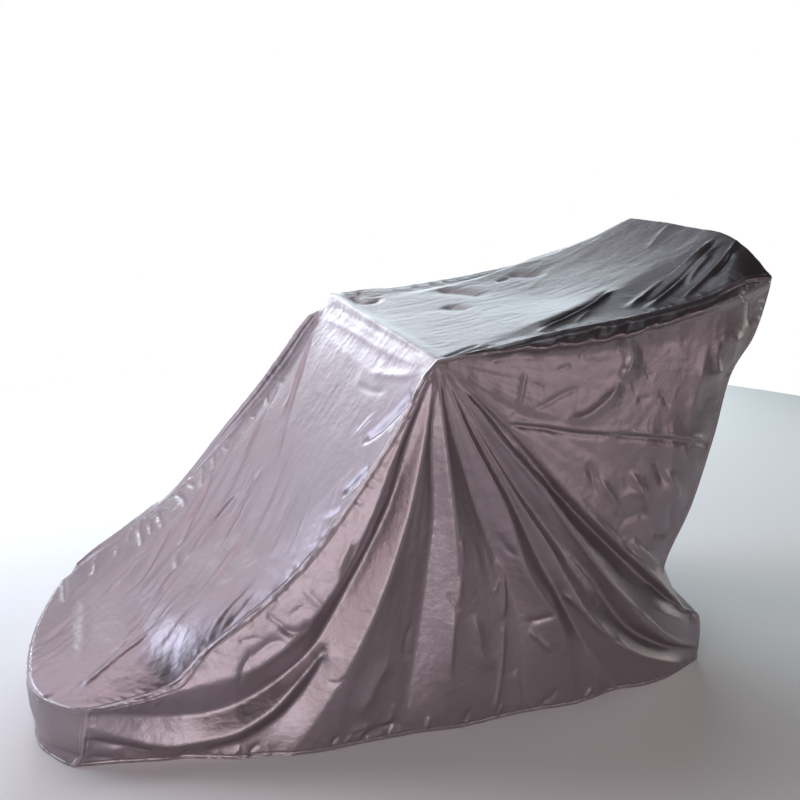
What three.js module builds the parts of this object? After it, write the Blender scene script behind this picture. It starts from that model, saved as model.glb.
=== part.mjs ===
// Treadmill cover: four cut cloth panels, sewn into a fitted cover and draped over the machine.
// Millimetres, +Z up. +X runs from the running deck to the console and -Y is the near side.
// The origin is the middle of the footprint, on the floor.

import * as THREE from "three";

// Cloth and seams
const SHEET = 2;
const SEAM_GAP = 0.3;
const CLOTH_ROUGHNESS = 0.42;
const CLOTH_METALNESS = 0.0;

// Mesh steps along each seam run, and across the strip: near slope, plateau, far slope
const RUN_STEPS = 20;
const ACROSS_STEPS = { nearSlope: 4, plateau: 6, farSlope: 2 };

const SEAM_ARC_DIVISIONS = 400;

// Points closer than this are one point
const WELD = 0.01;

// Sharpest mitre where two sewn borders of a panel meet
const LEAST_MITRE = 0.4;

// Where a fold starts to settle towards the hem, and to turn in round the front corner, as shares
// of its length
const FOLD_SETTLE_START = 0.62;
const CORNER_TURN_START = 0.88;

// Share of a fold's length where its mesh row lags most, and how late the lag sets in
const LAG_PEAK = 0.8;
const LAG_POWER = 4;

// Rear end: how far the deck's rear edge and the rear hem stand out at most
const REAR_EDGE_BULGE = 131;
const REAR_HEM_BULGE = 84;
const REAR_BELLY = 5;

// Bulges across the strip: the share where one stands out most, and the power of its fall to each seam
const FRONT_BULGE = { peak: 0.5, nearPower: 2.3, farPower: 2.3 };
const REAR_BULGE = { peak: 0.27, nearPower: 2.3, farPower: 1.8 };

// Near side. Seams run from the handle end. Reach is the distance from the middle plane.
const NEAR = {
  side: -1,
  deckSeam: [
    { x: 8, reach: 462, z: 990 },
    { x: -28, reach: 460, z: 950 },
    { x: -67, reach: 458, z: 874 },
    { x: -126, reach: 455, z: 775 },
    { x: -222, reach: 447, z: 635 },
    { x: -334, reach: 439, z: 492 },
    { x: -448, reach: 430, z: 388 },
    { x: -580, reach: 419, z: 292 },
    { x: -655, reach: 412, z: 212 },
    { x: -705, reach: 408, z: 193 },
    { x: -878, reach: 392, z: 162 },
  ],
  railSeam: [
    { x: 8, reach: 462, z: 990 },
    { x: 123, reach: 462, z: 1006 },
    { x: 346, reach: 464, z: 1040 },
    { x: 570, reach: 464, z: 1064 },
    { x: 778, reach: 460, z: 1098 },
    { x: 920, reach: 452, z: 1137 },
    { x: 1010, reach: 441, z: 1137 },
  ],
  // Where the cloth would hang without folds: reach at its top and at the hem
  wall: [
    { x: -930, top: 385, topZ: 150, hem: 362 },
    { x: -655, top: 412, topZ: 212, hem: 430 },
    { x: -526, top: 424, topZ: 330, hem: 484 },
    { x: -345, top: 438, topZ: 480, hem: 503 },
    { x: -122, top: 455, topZ: 780, hem: 516 },
    { x: 8, top: 462, topZ: 990, hem: 526 },
    { x: 230, top: 466, topZ: 1028, hem: 532 },
    { x: 450, top: 468, topZ: 1056, hem: 528 },
    { x: 700, top: 466, topZ: 1085, hem: 500 },
    { x: 863, top: 460, topZ: 1120, hem: 470 },
    { x: 1010, top: 448, topZ: 1137, hem: 440 },
  ],
  // Fold lines from the handle end to the edge, through a quarter, half and three quarters of
  // their length. rise: share of the length over which the fold grows, out: how far it stands out,
  // edge: the same at the edge, turn: how far the last part turns in round the front corner, lag: how
  // far its row at the lag peak falls behind, steps: mesh steps to the next fold.
  folds: [
    { name: "shade", x1: -125, z1: 728, x2: -262, z2: 512, x3: -650, z3: 196, xe: -880, ze: 157,
      rise: 0.34, out: 8, edge: 2, turn: 0, lag: 18, steps: 1 },
    { name: "lip", x1: -113, z1: 700, x2: -265, z2: 428, x3: -500, z3: 187, xe: -882, ze: 150,
      rise: 0.34, out: 18, edge: 4, turn: 0, lag: 40, steps: 1 },
    { name: "swag valley", x1: -106, z1: 700, x2: -245, z2: 412, x3: -495, z3: 166, xe: -884, ze: 140,
      rise: 0.34, out: -26, edge: -6, turn: 0, lag: 60, steps: 1 },
    { name: "under the swag", x1: -98, z1: 700, x2: -225, z2: 400, x3: -490, z3: 151, xe: -887, ze: 128,
      rise: 0.34, out: -12, edge: -4, turn: 0, lag: 85, steps: 1 },
    { name: "swag ridge", x1: -88, z1: 700, x2: -212, z2: 395, x3: -482, z3: 100, xe: -900, ze: 50,
      rise: 0.7, out: 26, edge: 6, turn: 0, lag: 110, steps: 1 },
    { name: "low hollow", x1: -80, z1: 702, x2: -204, z2: 390, x3: -458, z3: 84, xe: -905, ze: 26,
      rise: 0.34, out: -2, edge: -4, turn: 0, lag: 132, steps: 1 },
    { name: "rear corner", x1: -74, z1: 704, x2: -196, z2: 384, x3: -440, z3: 66, xe: -924, ze: 0,
      rise: 0.34, out: 4, edge: 0, turn: 0, lag: 152, steps: 2 },
    { name: "rose face", x1: -62, z1: 704, x2: -155, z2: 428, x3: -276, z3: 182, xe: -455, ze: 0,
      rise: 0.34, out: -4, edge: -4, turn: 0, lag: -88, steps: 1 },
    { name: "first ridge", x1: -48, z1: 695, x2: -130, z2: 440, x3: -238, z3: 210, xe: -425, ze: 0,
      rise: 0.34, out: 28, edge: 2, turn: 0, lag: -30, steps: 3 },
    { name: "first valley", x1: 4, z1: 740, x2: -22, z2: 500, x3: -44, z3: 250, xe: -110, ze: 0,
      rise: 0.34, out: -20, edge: 6, turn: 0, lag: 0, steps: 1 },
    { name: "middle foot", x1: 12, z1: 740, x2: -12, z2: 500, x3: -34, z3: 250, xe: 20, ze: 0,
      rise: 0.34, out: -16, edge: 5, turn: 0, lag: 0, steps: 2 },
    { name: "middle ridge", x1: 33, z1: 740, x2: 42, z2: 500, x3: 34, z3: 250, xe: 60, ze: 0,
      rise: 0.34, out: 0, edge: 8, turn: 0, lag: 0, steps: 3 },
    { name: "middle valley", x1: 80, z1: 720, x2: 153, z2: 510, x3: 236, z3: 250, xe: 245, ze: 0,
      rise: 0.34, out: -26, edge: -2, turn: 0, lag: 0, steps: 3 },
    { name: "long ridge", x1: 118, z1: 720, x2: 212, z2: 500, x3: 338, z3: 255, xe: 392, ze: 0,
      rise: 0.34, out: 14, edge: 5, turn: 0, lag: 0, steps: 2 },
    { name: "long valley", x1: 138, z1: 720, x2: 256, z2: 500, x3: 405, z3: 250, xe: 560, ze: 0,
      rise: 0.34, out: -10, edge: -8, turn: 0, lag: 0, steps: 1 },
    { name: "skirt", x1: 143, z1: 722, x2: 268, z2: 488, x3: 445, z3: 214, xe: 690, ze: 10,
      rise: 0.34, out: -6, edge: 2, turn: 4, lag: 34, steps: 1 },
    { name: "front corner", x1: 147, z1: 723, x2: 276, z2: 486, x3: 478, z3: 196, xe: 863, ze: 0,
      rise: 0.34, out: -2, edge: 0, turn: 30, lag: 44, steps: 1 },
    { name: "silver ridge", x1: 156, z1: 722, x2: 290, z2: 480, x3: 508, z3: 178, xe: 861, ze: 14,
      rise: 0.7, out: 18, edge: 6, turn: 30, lag: 42, steps: 1 },
    { name: "silver valley", x1: 168, z1: 720, x2: 306, z2: 494, x3: 540, z3: 195, xe: 862, ze: 24,
      rise: 0.34, out: -10, edge: 0, turn: 30, lag: 38, steps: 1 },
    { name: "rose ridge", x1: 190, z1: 720, x2: 352, z2: 495, x3: 560, z3: 222, xe: 862, ze: 33,
      rise: 0.34, out: 10, edge: 4, turn: 30, lag: 30, steps: 1 },
    { name: "rose valley", x1: 207, z1: 720, x2: 384, z2: 478, x3: 588, z3: 229, xe: 862, ze: 40,
      rise: 0.34, out: -4, edge: 0, turn: 30, lag: 24, steps: 1 },
    { name: "thin ridge", x1: 214, z1: 722, x2: 395, z2: 481, x3: 600, z3: 237, xe: 861, ze: 48,
      rise: 0.34, out: 10, edge: 6, turn: 30, lag: 18, steps: 2 },
    { name: "deep valley", x1: 216, z1: 744, x2: 412, z2: 541, x3: 706, z3: 222, xe: 861, ze: 140,
      rise: 0.34, out: -24, edge: -4, turn: 30, lag: 4, steps: 1 },
    { name: "taut lip", x1: 222, z1: 756, x2: 420, z2: 562, x3: 622, z3: 352, xe: 785, ze: 189,
      rise: 0.34, out: 10, edge: 8, turn: 26, lag: 0, steps: 2 },
    { name: "below waist", x1: 214, z1: 808, x2: 400, z2: 612, x3: 570, z3: 424, xe: 751, ze: 239,
      rise: 0.34, out: 6, edge: 2, turn: 26, lag: 0, steps: 1 },
    { name: "waist", x1: 194, z1: 842, x2: 370, z2: 677, x3: 538, z3: 511, xe: 712, ze: 311,
      rise: 0.34, out: 4, edge: -4, turn: 26, lag: 0, steps: 2 },
    { name: "above waist", x1: 200, z1: 856, x2: 395, z2: 736, x3: 590, z3: 626, xe: 801, ze: 497,
      rise: 0.34, out: 2, edge: 0, turn: 30, lag: 0, steps: 2 },
    { name: "pressed crease", x1: 172, z1: 884, x2: 384, z2: 800, x3: 605, z3: 746, xe: 868, ze: 686,
      rise: 0.34, out: 6, edge: 0, turn: 34, lag: 0, steps: 2 },
    { name: "upper side", x1: 226, z1: 952, x2: 447, z2: 930, x3: 665, z3: 900, xe: 924, ze: 868,
      rise: 0.34, out: -2, edge: 2, turn: 44, lag: 0, steps: 2 },
    { name: "top side", x1: 230, z1: 980, x2: 455, z2: 978, x3: 690, z3: 984, xe: 996, ze: 965,
      rise: 0.34, out: -4, edge: 2, turn: 46, lag: 0, steps: 1 },
    { name: "under the rail", x1: 231, z1: 992, x2: 462, z2: 1002, x3: 705, z3: 1040, xe: 1020, ze: 1088,
      rise: 0.34, out: 6, edge: 2, turn: 30, lag: 0, steps: 1 },
    { name: "rail edge", x1: 232, z1: 1006, x2: 466, z2: 1018, x3: 716, z3: 1062, xe: 1007, ze: 1122,
      rise: 0.34, out: 40, edge: 6, turn: 8, lag: 0, steps: 1 },
  ],
};

// Far side, hidden in most of its area: the same cut with its own, calmer folds
const FAR = {
  side: 1,
  deckSeam: [
    { x: 18, reach: 462, z: 1006 },
    { x: -8, reach: 462, z: 954 },
    { x: -66, reach: 459, z: 876 },
    { x: -158, reach: 449, z: 756 },
    { x: -306, reach: 438, z: 605 },
    { x: -488, reach: 423, z: 439 },
    { x: -624, reach: 413, z: 340 },
    { x: -788, reach: 400, z: 236 },
    { x: -885, reach: 392, z: 176 },
  ],
  railSeam: [
    { x: 18, reach: 462, z: 1006 },
    { x: 76, reach: 430, z: 995 },
    { x: 200, reach: 396, z: 1004 },
    { x: 370, reach: 402, z: 1016 },
    { x: 540, reach: 425, z: 1033 },
    { x: 700, reach: 444, z: 1064 },
    { x: 860, reach: 448, z: 1112 },
    { x: 982, reach: 441, z: 1151 },
  ],
  wall: [
    { x: -930, top: 385, topZ: 165, hem: 372 },
    { x: -655, top: 416, topZ: 360, hem: 440 },
    { x: -488, top: 423, topZ: 439, hem: 480 },
    { x: -306, top: 438, topZ: 605, hem: 498 },
    { x: -158, top: 449, topZ: 756, hem: 508 },
    { x: 18, top: 462, topZ: 1006, hem: 518 },
    { x: 230, top: 452, topZ: 1004, hem: 526 },
    { x: 540, top: 455, topZ: 1033, hem: 520 },
    { x: 700, top: 458, topZ: 1064, hem: 502 },
    { x: 863, top: 456, topZ: 1112, hem: 474 },
    { x: 1010, top: 446, topZ: 1151, hem: 446 },
  ],
  folds: [
    { name: "lip", x1: -180, z1: 770, x2: -387, z2: 546, x3: -614, z3: 342, xe: -887, ze: 168,
      rise: 0.08, out: 44, edge: 4, turn: 0, lag: 0, steps: 2 },
    { name: "swag valley", x1: -118, z1: 692, x2: -345, z2: 412, x3: -590, z3: 222, xe: -891, ze: 146,
      rise: 0.34, out: 6, edge: -4, turn: 0, lag: 24, steps: 2 },
    { name: "swag ridge", x1: -104, z1: 672, x2: -310, z2: 350, x3: -570, z3: 150, xe: -896, ze: 112,
      rise: 0.34, out: 24, edge: 6, turn: 0, lag: 44, steps: 1 },
    { name: "low hollow", x1: -100, z1: 662, x2: -292, z2: 310, x3: -555, z3: 84, xe: -901, ze: 60,
      rise: 0.34, out: 0, edge: -4, turn: 0, lag: 70, steps: 1 },
    { name: "rear corner", x1: -96, z1: 660, x2: -280, z2: 292, x3: -540, z3: 40, xe: -906, ze: 0,
      rise: 0.34, out: 10, edge: 0, turn: 0, lag: 95, steps: 3 },
    { name: "first ridge", x1: -88, z1: 742, x2: -208, z2: 495, x3: -345, z3: 246, xe: -540, ze: 0,
      rise: 0.34, out: 28, edge: 16, turn: 0, lag: -40, steps: 3 },
    { name: "first valley", x1: -58, z1: 746, x2: -124, z2: 498, x3: -206, z3: 250, xe: -315, ze: 0,
      rise: 0.34, out: -22, edge: -12, turn: 0, lag: 0, steps: 3 },
    { name: "middle ridge", x1: -20, z1: 748, x2: -42, z2: 500, x3: -66, z3: 250, xe: -84, ze: 0,
      rise: 0.34, out: 30, edge: 18, turn: 0, lag: 0, steps: 2 },
    { name: "middle valley", x1: 26, z1: 748, x2: 58, z2: 500, x3: 84, z3: 250, xe: 118, ze: 0,
      rise: 0.34, out: -26, edge: -14, turn: 0, lag: 0, steps: 3 },
    { name: "long ridge", x1: 68, z1: 752, x2: 142, z2: 508, x3: 210, z3: 258, xe: 304, ze: 0,
      rise: 0.34, out: 24, edge: 10, turn: 0, lag: 0, steps: 2 },
    { name: "long valley", x1: 112, z1: 754, x2: 232, z2: 512, x3: 345, z3: 262, xe: 492, ze: 0,
      rise: 0.34, out: -18, edge: -6, turn: 0, lag: 0, steps: 1 },
    { name: "skirt", x1: 136, z1: 752, x2: 278, z2: 504, x3: 436, z3: 252, xe: 676, ze: 0,
      rise: 0.34, out: 4, edge: 4, turn: 4, lag: 24, steps: 1 },
    { name: "front corner", x1: 150, z1: 752, x2: 306, z2: 504, x3: 498, z3: 248, xe: 858, ze: 0,
      rise: 0.34, out: 8, edge: 0, turn: 30, lag: 30, steps: 2 },
    { name: "silver ridge", x1: 166, z1: 758, x2: 338, z2: 516, x3: 540, z3: 276, xe: 856, ze: 42,
      rise: 0.34, out: 24, edge: 6, turn: 30, lag: 24, steps: 2 },
    { name: "silver valley", x1: 182, z1: 770, x2: 372, z2: 546, x3: 578, z3: 326, xe: 852, ze: 92,
      rise: 0.34, out: -12, edge: 0, turn: 30, lag: 12, steps: 2 },
    { name: "taut lip", x1: 198, z1: 786, x2: 400, z2: 580, x3: 604, z3: 376, xe: 842, ze: 150,
      rise: 0.34, out: 16, edge: 8, turn: 26, lag: 0, steps: 3 },
    { name: "waist", x1: 202, z1: 830, x2: 398, z2: 668, x3: 580, z3: 506, xe: 752, ze: 322,
      rise: 0.34, out: 0, edge: -4, turn: 26, lag: 0, steps: 3 },
    { name: "above waist", x1: 212, z1: 884, x2: 424, z2: 780, x3: 632, z3: 682, xe: 840, ze: 560,
      rise: 0.34, out: 4, edge: 0, turn: 30, lag: 0, steps: 4 },
    { name: "upper side", x1: 226, z1: 940, x2: 447, z2: 906, x3: 665, z3: 874, xe: 896, ze: 824,
      rise: 0.34, out: -2, edge: 2, turn: 40, lag: 0, steps: 3 },
    { name: "under the rail", x1: 231, z1: 984, x2: 462, z2: 1000, x3: 705, z3: 1042, xe: 968, ze: 1080,
      rise: 0.34, out: 8, edge: 2, turn: 30, lag: 0, steps: 1 },
    { name: "rail edge", x1: 232, z1: 1010, x2: 468, z2: 1028, x3: 716, z3: 1068, xe: 977, ze: 1122,
      rise: 0.34, out: 30, edge: 6, turn: 8, lag: 0, steps: 2 },
  ],
};

// Sections of the strip from seam to seam. at: share of the seam run. nearShare and farShare: where
// the shoulders lie across, nearLift and farLift: how far they stand above the line between the
// seams. slopeLift and midLift: the same for the middles of the near slope and of the plateau, above
// the lines between their own ends. push: how far the middle stands out along X.
const DECK_SECTIONS = [
  { at: 0, nearShare: 0.03, nearLift: 0, farShare: 0.97, farLift: 0, slopeLift: 0, midLift: 0, push: 0 },
  { at: 0.03, nearShare: 0.04, nearLift: -4, farShare: 0.96, farLift: -4, slopeLift: 0, midLift: -10,
    push: 0 },
  { at: 0.05, nearShare: 0.05, nearLift: -4, farShare: 0.95, farLift: -2, slopeLift: 0, midLift: -12,
    push: 0 },
  { at: 0.1, nearShare: 0.07, nearLift: 0, farShare: 0.93, farLift: 2, slopeLift: 0, midLift: -2, push: 0 },
  { at: 0.3, nearShare: 0.13, nearLift: 2, farShare: 0.87, farLift: 8, slopeLift: -3, midLift: -14,
    push: 0 },
  { at: 0.55, nearShare: 0.19, nearLift: 4, farShare: 0.83, farLift: 10, slopeLift: 2, midLift: -20,
    push: -6 },
  { at: 0.8, nearShare: 0.23, nearLift: 10, farShare: 0.8, farLift: 6, slopeLift: 4, midLift: -8,
    push: -60 },
  { at: 0.92, nearShare: 0.25, nearLift: 10, farShare: 0.78, farLift: 4, slopeLift: 2, midLift: 4,
    push: -110 },
  { at: 1, nearShare: 0.26, nearLift: 2, farShare: 0.77, farLift: 0, slopeLift: 0, midLift: 4,
    push: -REAR_EDGE_BULGE },
];
const TOP_SECTIONS = [
  { at: 0, nearShare: 0.03, nearLift: 0, farShare: 0.97, farLift: 0, slopeLift: 0, midLift: 0, push: 0 },
  { at: 0.05, nearShare: 0.03, nearLift: -3, farShare: 0.93, farLift: -10, slopeLift: 0, midLift: -6,
    push: 0 },
  { at: 0.25, nearShare: 0.107, nearLift: 2, farShare: 0.93, farLift: 2, slopeLift: -3, midLift: -10,
    push: 0 },
  { at: 0.5, nearShare: 0.184, nearLift: 18, farShare: 0.93, farLift: 20, slopeLift: -4, midLift: -18,
    push: 0 },
  { at: 0.65, nearShare: 0.25, nearLift: 25, farShare: 0.935, farLift: 31, slopeLift: -3, midLift: -12,
    push: 0 },
  { at: 0.78, nearShare: 0.305, nearLift: 42, farShare: 0.893, farLift: 35, slopeLift: 8, midLift: -6,
    push: 3 },
  { at: 0.9, nearShare: 0.36, nearLift: 54, farShare: 0.844, farLift: 52, slopeLift: 24, midLift: 0,
    push: 8 },
  { at: 1, nearShare: 0.375, nearLift: 91, farShare: 0.81, farLift: 82, slopeLift: 34, midLift: 4,
    push: 15 },
];
// Down the front, at is the drop below the console as a share of its height
const FRONT_SECTIONS = [
  { at: 0, nearShare: 0.375, nearLift: 91, farShare: 0.81, farLift: 82, slopeLift: 34, midLift: 4,
    push: 15 },
  { at: 0.06, nearShare: 0.36, nearLift: 48, farShare: 0.8, farLift: 46, slopeLift: 20, midLift: 2,
    push: 30 },
  { at: 0.15, nearShare: 0.32, nearLift: 18, farShare: 0.76, farLift: 16, slopeLift: 6, midLift: 0,
    push: 44 },
  { at: 0.31, nearShare: 0.3, nearLift: 0, farShare: 0.72, farLift: 0, slopeLift: 0, midLift: 0,
    push: 72 },
  { at: 0.49, nearShare: 0.28, nearLift: 0, farShare: 0.72, farLift: 0, slopeLift: 0, midLift: 0,
    push: 90 },
  { at: 0.73, nearShare: 0.26, nearLift: 0, farShare: 0.74, farLift: 0, slopeLift: 0, midLift: 0,
    push: 140 },
  { at: 0.87, nearShare: 0.26, nearLift: 0, farShare: 0.74, farLift: 0, slopeLift: 0, midLift: 0,
    push: 44 },
  { at: 1, nearShare: 0.26, nearLift: 0, farShare: 0.74, farLift: 0, slopeLift: 0, midLift: 0,
    push: 26 },
];

const COLOURS = {
  centre_strip: 0x9c9cac,
  near_side_panel: 0x7c6a70,
  far_side_panel: 0x7c6a70,
  rear_panel: 0x5f4c4c,
};

const clamp01 = (value) => Math.min(1, Math.max(0, value));

function smooth(value) {
  const share = clamp01(value);
  return share * share * (3 - 2 * share);
}

function mix(low, high, share) {
  return low + (high - low) * share;
}

// A table row between two rows, each column on its own
function rowAt(table, key, value) {
  const last = table.length - 1;
  let index = 0;
  while (index < last - 1 && table[index + 1][key] < value) index += 1;
  const low = table[index];
  const high = table[index + 1];
  const share = clamp01((value - low[key]) / (high[key] - low[key]));
  const row = {};
  for (const column of Object.keys(low)) row[column] = mix(low[column], high[column], share);
  return row;
}

function seamCurve(side, rows) {
  const points = rows.map((row) => new THREE.Vector3(row.x, side * row.reach, row.z));
  const curve = new THREE.CatmullRomCurve3(points, false, "centripetal");
  curve.arcLengthDivisions = SEAM_ARC_DIVISIONS;
  return curve;
}

function foldCurve(panel, fold) {
  const start = panel.deckSeam[0];
  const points = [
    new THREE.Vector3(start.x, 0, start.z),
    new THREE.Vector3(fold.x1, 0, fold.z1),
    new THREE.Vector3(fold.x2, 0, fold.z2),
    new THREE.Vector3(fold.x3, 0, fold.z3),
    new THREE.Vector3(fold.xe, 0, fold.ze),
  ];
  return new THREE.CatmullRomCurve3(points, false, "centripetal");
}

function wallReach(panel, x, z) {
  const wall = rowAt(panel.wall, "x", x);
  return mix(wall.hem, wall.top, clamp01(z / wall.topZ));
}

// A point of a fold line at a row's share of its length, less its lag
function foldPoint(panel, fold, curve, share) {
  const late = ((share / LAG_PEAK) ** LAG_POWER * (1 - share)) / (1 - LAG_PEAK);
  const point = curve.getPointAt(share - (fold.lag / curve.getLength()) * late);
  const rise = smooth(share / fold.rise);
  const settle = smooth((share - FOLD_SETTLE_START) / (1 - FOLD_SETTLE_START));
  const turn = smooth((share - CORNER_TURN_START) / (1 - CORNER_TURN_START));
  const out = mix(fold.out, fold.edge, settle) * rise - fold.turn * turn;
  point.y = panel.side * (wallReach(panel, point.x, point.z) + out);
  return point;
}

// Columns of a side panel, fanned from the handle end: the deck seam, the folds, the handrail seam.
// corners keeps the column numbers of the rear and front corners.
function sidePanel(panel) {
  const shares = Array.from({ length: RUN_STEPS + 1 }, (unused, step) => step / RUN_STEPS);
  const deck = seamCurve(panel.side, panel.deckSeam);
  const rail = seamCurve(panel.side, panel.railSeam);
  const lines = [{ name: "deck seam", steps: 1, points: shares.map((share) => deck.getPointAt(share)) }];
  for (const fold of panel.folds) {
    const curve = foldCurve(panel, fold);
    const points = shares.map((share) => foldPoint(panel, fold, curve, share));
    points[0].copy(lines[0].points[0]);
    lines.push({ name: fold.name, steps: fold.steps, points });
  }
  lines.push({ name: "rail seam", steps: 0, points: shares.map((share) => rail.getPointAt(share)) });

  const columns = [];
  const corners = {};
  lines.forEach((line, index) => {
    corners[line.name] = columns.length;
    columns.push(line.points);
    for (let step = 1; step < line.steps; step += 1) {
      const share = step / line.steps;
      const next = lines[index + 1].points;
      columns.push(line.points.map((point, row) => new THREE.Vector3(
        mix(point.x, next[row].x, share),
        mix(point.y, next[row].y, smooth(share)),
        mix(point.z, next[row].z, share),
      )));
    }
  });
  return { columns, corners };
}

// Places across the strip as shares of its near slope, plateau and far slope
function acrossPlaces() {
  const places = [];
  for (let step = 0; step < ACROSS_STEPS.nearSlope; step += 1) {
    places.push({ zone: "near", share: step / ACROSS_STEPS.nearSlope });
  }
  for (let step = 0; step < ACROSS_STEPS.plateau; step += 1) {
    places.push({ zone: "plateau", share: step / ACROSS_STEPS.plateau });
  }
  for (let step = 0; step <= ACROSS_STEPS.farSlope; step += 1) {
    places.push({ zone: "far", share: step / ACROSS_STEPS.farSlope });
  }
  return places;
}

const arch = (share) => 1 - (2 * share - 1) ** 2;

function bulge(form, share) {
  if (share < form.peak) return 1 - ((form.peak - share) / form.peak) ** form.nearPower;
  return 1 - ((share - form.peak) / (1 - form.peak)) ** form.farPower;
}

// One row of the strip between a point on the near seam and one on the far seam
function stripRow(near, far, section) {
  const form = section.push < 0 ? REAR_BULGE : FRONT_BULGE;
  return acrossPlaces().map(({ zone, share }) => {
    let across = 0;
    let lift = 0;
    if (zone === "near") {
      across = section.nearShare * share;
      lift = section.nearLift * share + section.slopeLift * arch(share);
    } else if (zone === "plateau") {
      across = mix(section.nearShare, section.farShare, share);
      lift = mix(section.nearLift, section.farLift, share) + section.midLift * arch(share);
    } else {
      across = mix(section.farShare, 1, share);
      lift = section.farLift * (1 - share);
    }
    const point = near.clone().lerp(far, across);
    point.x += section.push * bulge(form, across);
    point.z += lift;
    return point;
  });
}

function centreStrip(near, far) {
  const rows = [];
  const lastColumn = near.columns.length - 1;
  for (let step = RUN_STEPS; step >= 0; step -= 1) {
    const section = rowAt(DECK_SECTIONS, "at", step / RUN_STEPS);
    rows.push(stripRow(near.columns[0][step], far.columns[0][step], section));
  }
  const farLast = far.columns.length - 1;
  for (let step = 1; step <= RUN_STEPS; step += 1) {
    const section = rowAt(TOP_SECTIONS, "at", step / RUN_STEPS);
    rows.push(stripRow(near.columns[lastColumn][step], far.columns[farLast][step], section));
  }
  const frontSteps = lastColumn - near.corners["front corner"];
  const tipHeight = near.columns[lastColumn][RUN_STEPS].z;
  for (let step = 1; step <= frontSteps; step += 1) {
    const nearPoint = near.columns[lastColumn - step][RUN_STEPS];
    const farPoint = far.columns[farLast - step][RUN_STEPS];
    const section = rowAt(FRONT_SECTIONS, "at", 1 - nearPoint.z / tipHeight);
    rows.push(stripRow(nearPoint, farPoint, section));
  }
  return rows;
}

function rearPanel(near, far, rearEdge) {
  const rows = [rearEdge];
  const drops = near.corners["rear corner"];
  for (let step = 1; step <= drops; step += 1) {
    const nearPoint = near.columns[step][RUN_STEPS];
    const farPoint = far.columns[step][RUN_STEPS];
    const top = DECK_SECTIONS[DECK_SECTIONS.length - 1];
    const share = step / drops;
    const stand = mix(REAR_EDGE_BULGE, REAR_HEM_BULGE, share) + REAR_BELLY * arch(share);
    const section = { ...top, nearLift: 0, midLift: 0, push: -stand };
    rows.push(stripRow(nearPoint, farPoint, section));
  }
  return rows;
}

// Flat list of points and triangles of one panel, facing out
function surface(grid, outward) {
  const ids = new Map();
  const points = [];
  const pointId = (point) => {
    const key = [point.x, point.y, point.z].map((value) => Math.round(value / WELD)).join(" ");
    if (!ids.has(key)) {
      ids.set(key, points.length);
      points.push({ key, place: point.clone() });
    }
    return ids.get(key);
  };
  const triangles = [];
  const add = (a, b, c) => {
    if (a !== b && b !== c && c !== a) triangles.push([a, b, c]);
  };
  for (let i = 0; i < grid.length - 1; i += 1) {
    for (let j = 0; j < grid[i].length - 1; j += 1) {
      const a = pointId(grid[i][j]);
      const b = pointId(grid[i + 1][j]);
      const c = pointId(grid[i + 1][j + 1]);
      const d = pointId(grid[i][j + 1]);
      add(a, b, c);
      add(a, c, d);
    }
  }
  const total = new THREE.Vector3();
  for (const triangle of triangles) total.add(areaVector(points, triangle));
  if (total.dot(outward) < 0) triangles.forEach((triangle) => triangle.reverse());
  return { points, triangles };
}

function areaVector(points, [a, b, c]) {
  const origin = points[a].place;
  const first = points[b].place.clone().sub(origin);
  return first.cross(points[c].place.clone().sub(origin));
}

// Shared normals, so that panels meet in a mitre at their seams
function sharedNormals(surfaces) {
  const normals = new Map();
  for (const { points, triangles } of surfaces) {
    for (const triangle of triangles) {
      const area = areaVector(points, triangle);
      for (const id of triangle) {
        const { key } = points[id];
        if (!normals.has(key)) normals.set(key, new THREE.Vector3());
        normals.get(key).add(area);
      }
    }
  }
  for (const [key, normal] of normals) {
    if (key.endsWith(" 0")) normal.z = 0;
    normal.normalize();
  }
  return normals;
}

// Edges that belong to one triangle only, in the triangle's own direction
function borderEdges(triangles) {
  const edges = new Map();
  for (const triangle of triangles) {
    triangle.forEach((from, corner) => {
      const to = triangle[(corner + 1) % triangle.length];
      if (!edges.delete(`${to} ${from}`)) edges.set(`${from} ${to}`, [from, to]);
    });
  }
  return [...edges.values()];
}

// Draws a panel's sewn borders back by half a seam gap; hem edges on the floor stay
function drawBack({ points, triangles }, normals) {
  const pulls = new Map();
  for (const [from, to] of borderEdges(triangles)) {
    const ends = [points[from], points[to]];
    if (ends.every((end) => end.key.endsWith(" 0"))) continue;
    const along = ends[1].place.clone().sub(ends[0].place);
    for (const id of [from, to]) {
      const inward = normals.get(points[id].key).clone().cross(along).normalize();
      if (!pulls.has(id)) pulls.set(id, []);
      pulls.get(id).push(inward);
    }
  }
  for (const [id, pull] of pulls) {
    const shift = pull[0].clone();
    if (pull.length > 1) {
      const spread = Math.max(LEAST_MITRE, 1 + pull[0].dot(pull[1]));
      shift.add(pull[1]).divideScalar(spread);
    }
    points[id].place.addScaledVector(shift, SEAM_GAP / 2);
  }
}

// A closed sheet: the outer face, the inner face one sheet thickness inside it, and the rim
function sheetGeometry({ points, triangles }, normals) {
  const count = points.length;
  const positions = [];
  for (const { place } of points) positions.push(place.x, place.y, place.z);
  for (const { key, place } of points) {
    const inner = place.clone().addScaledVector(normals.get(key), -SHEET);
    positions.push(inner.x, inner.y, inner.z);
  }
  const index = [];
  for (const [a, b, c] of triangles) {
    index.push(a, b, c);
    index.push(a + count, c + count, b + count);
  }
  // The rim's diagonals go by the points' keys, so that facing rims of two panels are alike
  for (const [from, to] of borderEdges(triangles)) {
    if (points[from].key < points[to].key) {
      index.push(from, from + count, to + count);
      index.push(from, to + count, to);
    } else {
      index.push(to, from, from + count);
      index.push(to, from + count, to + count);
    }
  }
  const geometry = new THREE.BufferGeometry();
  geometry.setAttribute("position", new THREE.Float32BufferAttribute(positions, 3));
  geometry.setIndex(index);
  geometry.computeVertexNormals();
  return geometry;
}

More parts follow.
